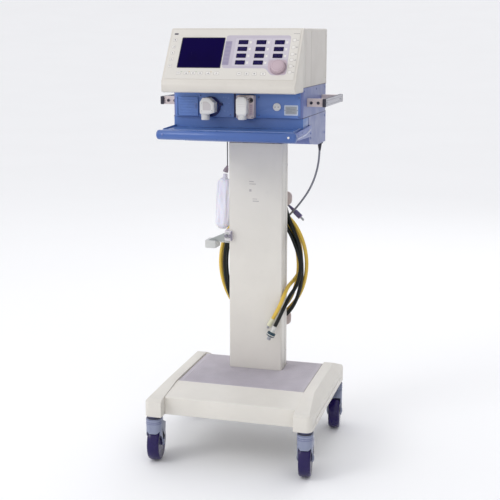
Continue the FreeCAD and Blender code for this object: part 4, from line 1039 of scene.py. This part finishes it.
def make_knob():
    shape = Shape()
    profile = [(2.9, 20.6), (3.4, 21.3), (13.8, 20.9), (15.4, 20.2), (16.6, 18.8), (17.3, 16.8)]
    outwards = Vector(at_slope(0, 0, 1)) - Vector(at_slope(0, 0, 0))
    shape.lathe(profile, at_slope(*KNOB, 0), outwards, M["knob"], 144,
                lambda angle, distance: 1 + 0.018 * math.cos(18 * angle))
    dish = [(16.6, 16.9), (17.4, 16.9), (17.5, 15.6), (16.9, 14.0), (16.5, 9.0), (16.4, 2.0)]
    shape.lathe(dish, at_slope(*KNOB, 0), outwards, M["knob_face"], 72)
    shape.lathe([(16.2, 3.6), (16.8, 3.4), (16.9, 2.0)], at_slope(KNOB[0], KNOB[1] + 10.6, 0), outwards,
                M["legend"], 24)
    shape.object("knob_form", "knob", 0, 1, ("rotary_knob",), None, 50)


make_panel_print()
make_panel_keys()
make_windows()
make_screen()
make_knob()


def make_knob_ring():
    """A thin raised rim round the knob's recess, open in the middle."""
    shape = Shape()
    profile = ((0.9, 22.3), (1.7, 22.6), (2.0, 23.6), (1.9, 24.8), (1.3, 25.8), (0.9, 26.0))
    shape.band(profile, KNOB, at_slope, M["knob_collar"], 72)
    return shape.object("knob_rim", "root", 0, 1, (), "overlay")


make_knob_ring()


def make_head_trim():
    """The shadow gap between head and console and the casing screws."""
    shape = Shape()
    for side in (-1, 1):
        low, high = sorted((side * 211.0, side * (CONSOLE_SIDE + 0.35)))
        shape.block(low, high, -131, 214, 1234.0, 1236.2, M["shadow"])
        low, high = sorted((side * 211.0, side * (CONSOLE_SIDE + 0.2)))
        shape.block(low, high, -132, 214.5, 1140.4, 1142.4, M["shadow_blue"])
        for y, z in ((-118, 1224), (60, 1224), (196, 1224), (-20, 1070), (196, 1070), (196, 1128)):
            shape.screw((side * CONSOLE_SIDE, y, z), (side, 0, 0), 3.6, M["blue_screw"])
        for y, z in ((-120, 1254), (196.5, 1254), (196.5, 1392)):
            shape.screw((side * (CONSOLE_SIDE + 0.3), y + 6, z), (side, 0, 0), 3.2, M["cover"])
    return shape.object("case_trim", "root", 0, 1, (), "offwhite")


make_head_trim()


# --- Console front -----------------------------------------------------------
def make_console_front():
    shape = Shape()
    # a dark strip beside the door: painted shadow in the gap
    shape.block(-9.6, -2.4, 1141.5, 1220.0, -1.0, 0.5, M["shadow_blue"], at_front)
    # this strip uses the lighter copy of the blue: painted light
    shape.block(-2.6, -1.4, 1141.5, 1220.0, 0.2, 1.6, M["blue_lit_panel"], at_front)
    plate = round_rect(153, 1150.5, 197, 1182, 2.4)
    shape.prism(plate, -0.2, 0.5, M["plate_rim"], at_front)
    shape.pad(157, 1154.5, 193, 1178, 1.6, 0.3, 0.8, M["plate"], at_front)
    for k in range(4):
        z = 1158.5 + 4.6 * k
        shape.block(161, (186, 178, 189, 172)[k], z, z + 1.2, 0.7, 0.86, M["plate_line"], at_front)
    for x in (155, 195):
        shape.lathe([(-0.2, 1.6), (0.9, 1.5), (1.3, 0.8)], at_front(x, 1166.2, 0), FORWARD, M["steel"], 16)
    for x, z, size in ((-44, 1203, 2.6), (-36, 1203, 2.0), (-28, 1200, 3.0), (-44, 1186, 2.4),
                       (-26, 1184, 2.2), (-40, 1160, 2.8), (-30, 1158, 2.0)):
        shape.prism(circle(x, z, size, 14), -0.1, 0.16, M["print_blue"], at_front)
    for x, z in ((72, 1205), (72, 1149), (200, 1205), (200, 1146), (-120, 1207), (-22, 1149)):
        shape.screw(at_front(x, z, -0.2), FORWARD, 2.6, M["blue_screw"])
    lock = Shape()
    lock.lathe([(0.4, 11.4), (1.4, 12.4), (4.2, 12.4), (5.0, 11.6), (5.2, 10.4), (5.2, 2.0)],
               at_front(130, 1176, 0), FORWARD, M["white"], 56, lambda a, d: 1 + 0.008 * math.cos(24 * a))
    lock.block(122.6, 137.4, 1174.9, 1177.1, 4.4, 5.28, M["legend"], at_front)
    lock.lathe([(4.6, 3.2), (5.5, 3.0), (5.7, 2.0)], at_front(130, 1176, 0), FORWARD, M["white"], 24)
    lock.object("coin_lock_form", "coin_lock", 0.2, 1, ("coin_lock",))
    latch = Shape()
    latch.pad(-138.5, 1166, -130.5, 1184, 3.6, 5.0, 6.4, M["blue_screw"], at_front)
    latch.pad(-136.5, 1168.5, -132.5, 1181.5, 1.9, 6.0, 7.6, M["blue"], at_front)
    latch.object("door_latch", "door", 0.5, 2, (), "blue")
    return shape.object("console_marks", "root", 0.15, 1, (), "blue")


make_console_front()


EXP_PORT = (-84, 1174)
SENSOR_HOLE = (53, 1197)


def grip_flute(angle, radius):
    """Shallow teeth on the lock ring's outermost band."""
    return 1.014 if radius > 30.5 and math.cos(22 * angle) > 0 else 1


def make_valve_details():
    ring = Shape()
    profile = ((0.8, 24.2), (0.8, 29.8), (1.8, 31), (9.6, 31), (11, 30), (11.2, 27), (11.0, 24.2))
    ring.band(profile, EXP_PORT, at_front, M["blue_dark"], 132, grip_flute)
    ring.prism(rounded([(-57, 1175.5), (-45.5, 1177), (-45.5, 1185), (-59, 1188)], 3), 3.2, 10.8,
               M["blue_dark"], at_front)
    ring.object("lock_ring_form", "lock_ring", 0.5, 2, ("exp_lock_ring",))

    valve = Shape()
    front = 48.0
    face = rounded([(-104.5, 1160), (-104.5, 1189), (-96.5, 1200), (-80, 1200), (-63.5, 1187),
                    (-63.5, 1160), (-81, 1154.5), (-102, 1154.5)], 5)
    valve.prism(face, front - 0.6, front + 1.3, M["white"], at_front)
    valve.prism(rounded([(-97, 1165), (-97, 1192), (-83, 1192), (-71, 1183), (-71, 1165)], 4), front + 1.0,
                front + 2.0, M["valve_shade"], at_front)
    for x, z in ((-100.6, 1163), (-100.6, 1187), (-67.2, 1164.5)):
        valve.screw(at_front(x, z, front + 1.1), FORWARD, 2.0, M["white"])
    for k in range(3):
        valve.lathe([(0, 13.0), (0.4, 13.8), (1.6, 13.8), (2.0, 13.0)], at_front(-94, 1148.5 - 5.0 * k, 31),
                    DOWN, M["white"], 48)
    for k in range(4):
        valve.block(-61.6, -59.9, 1161 + 6.4 * k, 1164 + 6.4 * k, 20, 42, M["white"], at_front)
    valve.object("valve_details", "root", 0.5, 2, (), "white")

    block = Shape()
    block.prism(rounded([(15.5, 1160), (15.5, 1198), (22, 1205), (37, 1205), (44, 1196), (44, 1160),
                         (40, 1155), (19, 1155)], 5), 55.4, 57.4, M["white"], at_front)
    block.block(18, 41.5, 1178.5, 1179.3, 56.8, 57.7, M["valve_shade"], at_front)
    block.block(18, 41.5, 1184.5, 1185.3, 56.8, 57.7, M["valve_shade"], at_front)
    for k in range(2):
        block.lathe([(0, 13.0), (0.4, 13.8), (1.6, 13.8), (2.0, 13.0)], at_front(29.5, 1148.5 - 5.0 * k, 42),
                    DOWN, M["white"], 48)
    rim = ((27.2, 5.6), (28.6, 5.7), (28.9, 6.6), (28.6, 7.6), (27.2, 7.9))
    block.band(rim, SENSOR_HOLE, at_front, M["dark"], 40)
    block.lathe([(-10.4, 5.4), (-9.6, 5.4)], at_front(*SENSOR_HOLE, 28), FORWARD, M["dark"], 32)
    for x, z in ((57.6, 1144.6), (14, 1144.6)):
        block.screw(at_front(x, z, 27.9), FORWARD, 2.3, M["steel"])
    block.pad(48.6, 1150, 59.6, 1186, 2.5, 27.6, 28.8, M["beige_panel"], at_front)
    for k in range(5):
        block.block(50.6, 57.6, 1154.5 + 6.2 * k, 1156.2 + 6.2 * k, 28.5, 29.0, M["dark_line"], at_front)
    block.object("insp_details", "root", 0.4, 2, (), "white")


make_valve_details()


# --- Tray, arms and rails -----------------------------------------------------
TRAY_BAR = (-261, 1093)


def make_tray_bar():
    shape = Shape()
    profile = [(-222, 8.5), (-221.2, 11.0), (-219.5, 13.2), (-216.5, 14.6), (-213, 15.0), (-212.4, 14.6),
               (-211.6, 14.6), (-211, 15.0), (211, 15.0), (211.6, 14.6), (212.4, 14.6), (213, 15.0),
               (216.5, 14.6), (219.5, 13.2), (221.2, 11.0), (222, 8.5)]
    # the bar uses the darker copy of the blue: painted shade
    shape.lathe(profile, (0, *TRAY_BAR), (1, 0, 0), M["blue_shaded_bar"], 56)
    for side in (-1, 1):
        shape.screw((side * 221.6, *TRAY_BAR), (side, 0, 0), 4.2, M["blue_screw"])
    for x, tone in ((200, "key"), (-200, "blue_screw")):
        shape.lathe([(14.6, 3.6), (15.5, 3.5), (16.2, 2.4)], (x, *TRAY_BAR), (0, -1, 0.15), M[tone], 24)
    shape.object("tray_bar_form", "root", 0, 1, ("tray_bar",), None, 40)
    lip = Shape()
    # a pale strip along the tray's front lip: painted highlight
    lip.block(-206, 206, -250.6, -248.4, 1107.0, 1109.2, M["tray_painted_highlight"])
    for side in (-1, 1):
        x = side * 215.6
        low, high = sorted((x + side * 2.6, x + side * 4.0))
        # a pale strip on each arm: painted highlight
        lip.prism(rounded([(-236, 1086), (-236, 1089.5), (-120, 1092.5), (-56, 1103), (-54, 1098),
                           (-120, 1088)], 2), low, high, M["arm_painted_highlight"], sideways)
        for y, z in ((-222, 1097), (-170, 1101), (-48, 1088)):
            lip.screw((side * 218.2, y, z), (side, 0, 0), 3.4, M["blue_screw"])
    return lip.object("tray_trim", "root", 0.3, 1, (), "blue")


def make_rail_trim():
    shape = Shape()
    for side in (-1, 1):
        for z in (1180.5, 1193.5):
            low, high = sorted((side * 273.2, side * 273.72))
            shape.block(low, high, -83.6, 189.6, z - 0.5, z + 0.5, M["rail_line"])
        # a dark strip along the rail's top: painted shadow in the gap
        low, high = sorted((side * 264, side * 273.2))
        shape.block(low, high, -83.6, 189.6, 1199.3, 1199.9, M["rail_line"])
        for x in (226.5, 248.5):
            shape.lathe([(-0.4, 6.6), (0.9, 6.6), (1.2, 5.8)], (side * x, -82, 1186.6), (0, -1, 0),
                        M["beige"], 32)
            shape.lathe([(0.8, 5.0), (1.9, 4.8), (2.2, 4.2), (1.4, 3.2), (1.2, 0.6)], (side * x, -82, 1186.6),
                        FORWARD, M["dark"], 32)
        for y in (-70, 152):
            shape.screw((side * 273.5, y, 1187), (side, 0, 0), 3.8, M["steel"])
        shape.lathe([(-0.2, 4.6), (1.0, 4.2), (1.4, 2.8)], (side * 268.6, -88, 1187), FORWARD, M["dark"], 24)
    return shape.object("rail_trim", "root", 0.25, 1, (), "rail")


make_tray_bar()
make_rail_trim()


# --- Rear --------------------------------------------------------------------
def make_rear_details():
    shape = Shape()
    for x in (-201, 201):
        for z in (1244, 1324, 1404):
            shape.screw(at_rear(x, z, -0.2), BACKWARD, 3.2)
    for x in (-160, -130, -100):
        shape.lathe([(-0.2, 12), (1.2, 12), (1.6, 11.2), (1.6, 8.6), (0.9, 8.2), (0.9, 1)],
                    at_rear(x, 1262, 0), BACKWARD, M["steel"], 40)
        shape.lathe([(0.6, 8.0), (1.2, 7.6), (1.2, 1)], at_rear(x, 1262, 0), BACKWARD, M["dark"], 32)
        for j in range(5):
            angle = math.radians(90 + 72 * j)
            shape.lathe([(1.0, 0.9), (1.7, 0.7)],
                        at_rear(x + 4.6 * math.cos(angle), 1262 + 4.6 * math.sin(angle), 0), (0, 1, 0),
                        M["steel"], 10)
    for x in (-66, -24):
        shape.prism(rounded([(x - 17, 1254), (x - 19, 1270), (x + 19, 1270), (x + 17, 1254)], 2.4), -0.2,
                    1.3, M["steel"], at_rear)
        shape.prism(rounded([(x - 11, 1257), (x - 12.4, 1267), (x + 12.4, 1267), (x + 11, 1257)], 2.0), 0.9,
                    1.7, M["dark"], at_rear)
        for side in (-1, 1):
            shape.lathe([(1.0, 2.6), (1.9, 2.4), (1.9, 0.8)], at_rear(x + side * 15.4, 1262, 0), (0, 1, 0),
                        M["steel"], 6)
    shape.pad(20, 1252, 92, 1276, 2, -0.2, 1.0, M["aluminium"], at_rear)
    for x in (25, 87):
        shape.screw(at_rear(x, 1264, 0.8), BACKWARD, 2.4)
    shape.pad(118, 1252, 182, 1280, 3, -0.2, 1.4, M["dark"], at_rear)
    for x in (136, 164):
        shape.pad(x - 9, 1256, x + 9, 1276, 2, 1.1, 1.7, M["trim_grey"], at_rear)
        shape.lathe([(1.4, 5.2), (1.9, 4.9), (1.9, 1)], at_rear(x, 1266, 0), BACKWARD, M["dark"], 24)
    switch_frame = round_rect(139.5, 1286.5, 160.5, 1313.5, 2.4)
    switch_hole = round_rect(142.9, 1289.9, 157.1, 1310.1, 0.8)
    shape.border(switch_frame, switch_hole, -0.3, 1.6, M["dark"], at_rear)
    for k in range(14):
        x = 12 + 6.4 * k
        shape.block(x, x + 2.2, 1296, 1386, -0.3, 0.7, M["trim_grey"], at_rear)
    shape.pad(118, 1336, 186, 1386, 2.5, -0.2, 0.5, M["plate"], at_rear)
    for k in range(5):
        shape.block(124, (178, 160, 172, 150, 166)[k], 1345 + 7.4 * k, 1346.6 + 7.4 * k, 0.4, 0.6,
                    M["plate_line"], at_rear)
    shape.object("rear_details", "root", 0.3, 1, (), "steel")

    rear = Shape()
    for x in (-198, -66, 66, 198):
        for z in (1052, 1224):
            rear.screw((x, CONSOLE_REAR, z), BACKWARD, 3.4, M["blue_screw"])
    for start, low in ((-168, 1080), (70, 1160)):
        for k in range(9):
            x = start + 12 * k
            # dark pads for the vent slots: painted shade inside them
            rear.pad(x, low, x + 5, low + 44, 2.4, CONSOLE_REAR - 0.2, CONSOLE_REAR + 0.5, M["shadow_blue"],
                     facing)
    rear.object("console_back_trim", "root", 0.2, 1, (), "blue")

    switch = Shape()
    profile = [(-9.0, 3.1), (-5.0, 4.0), (0, 2.9), (5.0, 4.0), (9.0, 3.1)]
    outline = [(z, out) for z, out in profile] + [(9.0, -4.0), (-9.0, -4.0)]
    switch.prism(outline, -6.5, 6.5, M["dark"], lambda a, b, h: (150 + h, 212.2 + b, 1300 + a))
    switch.block(149.4, 150.6, 212.2 + 3.4, 212.2 + 4.0, 1304, 1307.4, M["key"])
    steps = 20
    for k in range(steps):
        a0, a1 = 2 * math.pi * k / steps, 2 * math.pi * (k + 1) / steps
        ring = [(150 + r * math.cos(a), 1294.6 + r * math.sin(a))
                for r, a in ((2.1, a0), (2.1, a1), (1.5, a1), (1.5, a0))]
        switch.prism(ring, 215.6, 216.15, M["key"], facing)
    switch.lathe([(-9, 1.0), (9, 1.0)], (150, 212.2, 1300), (1, 0, 0), M["dark"], 16)
    switch.object("switch_rocker", "switch", 0.25, 1, ("power_switch",))


make_rear_details()


def make_inlets():
    shape = Shape()
    for (x, y, z), tone in ((YELLOW_DROP[0], M["pale"]), (GREEN_DROP[0], M["teal"])):
        shape.lathe([(0, 12.4), (1.2, 13.0), (2.4, 13.0), (2.8, 12.0)], (x, y, 1038.3), (0, 0, -1), tone, 40)
        shape.lathe([(2.4, 10.4), (3.2, 11.2), (11.6, 11.2), (12.6, 10.0)], (x, y, 1038.3), (0, 0, -1),
                    M["steel"], 6)
        shape.lathe([(12, 8.8), (14.4, 8.8), (14.8, 8.0), (16.4, 8.0), (16.8, 8.8), (18.6, 8.8), (19, 8.0),
                     (20.6, 8.0), (21, 8.8), (23, 8.8), (24.4, 7.2), (27, 7.0)], (x, y, 1038.3), (0, 0, -1),
                    M["steel"], 40)
    return shape.object("gas_inlet_nuts", "root", 0.3, 1, ("gas_inlets",))


make_inlets()


# --- Side bracket and breathing bag -------------------------------------------
def make_bracket():
    shape = Shape()
    side = -COLUMN_SIDE
    shape.prism(round_rect(-178, 66.5, -138.5, 121.5, 4, 6), 671, 696.5, M["bracket"])
    shape.prism(round_rect(-174.5, 70, -142, 118, 3, 6), 669.9, 671.5, M["bracket_wedge"])
    shape.block(-141, side - 0.5, 84.5, 121.5, 689.2, 696.6, M["bracket"], upright)
    wedge = rounded([(-171, 695.5), (side - 0.5, 729), (side - 0.5, 695.5)], 3)
    shape.prism(wedge, 79, 109, M["bracket_wedge"], facing)
    clip = round_rect(side - 14, 698, side + 14, 733, 4, 5)
    shape.prism(clip, 74.2, 81.5, M["clip_pale"], facing)
    shape.prism(round_rect(74.5, 698, 121.5, 733, 4, 5), side - 13.8, side - 0.5, M["clip_pale"],
                sideways)
    shape.prism(round_rect(side - 11, 704, side + 0.5, 728, 2, 4), 73.4, 74.6, M["bracket"],
                facing)
    shape.prism(round_rect(side + 9.4, 699.5, side + 13.9, 731.5, 1.8, 4), 68.0, 76, M["trim_grey"],
                facing)
    for x in (side - 7, side + 5.5):
        shape.lathe([(0, 5.4), (0.6, 6.0), (5.6, 6.0), (6.6, 5.4), (7.0, 4.0)], (x, 73.8, 715), (0, -1, 0),
                    M["trim_grey"], 48, lambda a, d: 1 + 0.05 * math.cos(9 * a))
    return shape.object("side_bracket_form", "root", 0.7, 3, ("side_bracket",))


make_bracket()


BAG_FOOT = (-131.5, 118, 727)
BAG_LEAN = math.radians(4)
BAG_SQUARENESS = 0.72


def bag_ring(t, steps=88):
    """One level of the bag: t runs from 0 at the bottom seam to 1 at the neck."""
    height = 4 + 178 * t
    fill = min(t / 0.11, 1.0) ** 0.45
    close = min((1 - t) / 0.08, 1.0) ** 0.5
    sag = 1 + 0.06 * math.sin(math.pi * min(t / 0.6, 1.0))
    half_x = 6 + (19.0 * sag) * fill * (0.3 + 0.7 * close)
    half_y = 2.4 + (15.0 * sag * (1 - 0.35 * t)) * fill * (0.35 + 0.65 * close)
    points = []
    for k in range(steps):
        angle = 2 * math.pi * k / steps
        cx, cy = math.cos(angle), math.sin(angle)
        x = half_x * math.copysign(abs(cx) ** BAG_SQUARENESS, cx)
        y = half_y * math.copysign(abs(cy) ** BAG_SQUARENESS, cy)
        fold = 1.9 * math.sin(5 * angle + 2.2 * math.sin(2.6 * t) + 0.8)
        fold += 1.1 * math.sin(9 * angle - 3.1 * t + 2.0)
        fold += 0.7 * math.sin(13 * angle + 9 * t)
        pucker = 0.35 + 0.65 * (1 - abs(2 * t - 1) ** 3)
        shift = fold * pucker * fill * close
        y += shift * (0.5 + 0.5 * abs(cy)) * (1 if cy >= 0 else -1)
        x += 0.35 * shift * (1 if cx >= 0 else -1)
        x += 1.5 * math.sin(5.2 * t + 0.5) * close
        points.append((BAG_FOOT[0] + x * math.cos(BAG_LEAN) + height * math.sin(BAG_LEAN), BAG_FOOT[1] + y,
                       BAG_FOOT[2] + height * math.cos(BAG_LEAN) - x * math.sin(BAG_LEAN)))
    return points


def make_bag():
    shape = Shape()
    levels = [0.0, 0.006, 0.015, 0.03, 0.05, 0.075, 0.105] + [0.14 + 0.035 * k for k in range(22)]
    levels += [0.925, 0.945, 0.965, 0.98, 0.992, 1.0]
    shape.rings([bag_ring(t) for t in levels], M["bag"])
    bag_piece = shape.object("breathing_bag", "root", 0, 1, ("test_lung",), None, 60)
    smooth = bag_piece.modifiers.new("soft", "SUBSURF")
    smooth.levels = 1
    smooth.render_levels = 1

    up = (math.sin(BAG_LEAN), 0, math.cos(BAG_LEAN))
    neck = Shape()
    base = Vector(BAG_FOOT) + Vector(up) * 180
    neck.lathe([(-5, 9.6), (-4, 10.6), (-1, 10.6), (0, 9.6), (0.6, 8.6), (4, 8.6), (4.6, 9.4), (6, 9.4),
                (6.6, 8.2), (13, 7.8), (17.4, 7.4), (18, 6.6)], tuple(base), up, M["neck"], 48)
    neck.object("bag_neck", "root", 0, 1, (), "bag", 40)

    wire = Shape()
    wire.lathe([(0, 2.6), (1.4, 2.6), (2.2, 1.8), (90, 1.7), (91, 1.7)], (-110, 118, 1038.4), (0, 0, -1),
               M["wire"], 20)
    top, bottom = Vector((-111, 118, 950)), Vector((-118, 118, 931))
    way = (bottom - top).normalized()
    wire.lathe([(-4, 1.8), (-3, 3.2), (0, 4.2), (4, 4.8), (5, 6.4), (13, 8.6), (17.6, 9.4), (19.4, 9.2),
                (19.7, 8.2)], tuple(top), way, M["cap_mauve"], 44)
    wire.object("bag_hanger", "root", 0, 1, ("test_lung_hanger",), None, 40)


make_bag()


# --- Hose hooks --------------------------------------------------------------
def make_hook_trim():
    shape = Shape()
    for z in (833, 399):
        for x in (-78, 76):
            shape.screw((x, 217.9, z), BACKWARD, 4.0, M["steel"])
    return shape.object("hook_screws", "root", 0, 1, (), "beige")


make_hook_trim()

# --- The CAD forms: rounded edges on what is seen, a finish on the rest ------
SOFT = {"left_leg": 4, "right_leg": 4, "base_deck": 2.5, "deck_mat": 0.8, "caster_collars": 1.2,
        "fork_fl": 1.1, "fork_fr": 1.1, "fork_rl": 1.1, "fork_rr": 1.1, "pedal_fl": 1.2, "pedal_fr": 1.2,
        "column_front_cover": 1.0, "column_rear_cover": 1.0, "hose_hooks": 2.0, "console_shell": 1.2,
        "front_panel": 0.6, "sensor_door": 0.8, "coin_lock": 0.5, "exp_lock_ring": 1.0, "exp_valve_body": 2.0,
        "insp_block": 1.5, "insp_port": 2.0, "tray": 0.8, "tray_bar": 1.5, "tray_arms": 1.0,
        "side_rails": 1.2, "rail_standoffs": 1.5, "rail_end_caps": 1.0, "control_bezel": 3.0,
        "panel_overlay": 0.3, "rear_housing": 1.5, "rear_panel": 0.4}
FALLBACK = {"overlay": "film", "screen": "screen"}
# the console sides and the tray arms get shaded copies of the blue and the front plate and sensor door a lit
# copy: painted shade and painted light
NODE_SURFACE = {"tray_arms": "arm_shaded_blue", "console_shell": "blue_shaded_side", "front_panel": "blue_lit_panel",
                "sensor_door": "blue_lit_panel", "control_bezel": "head", "rear_housing": "hood"}
for node, slot_name in NODE_SLOT.items():
    surface = M[NODE_SURFACE.get(node, FALLBACK.get(slot_name, slot_name))]
    if frame["nodes"][node].hide_render:
        continue
    if node in SOFT:
        soften(node, surface, SOFT[node])
    else:
        finish_node(node, surface)
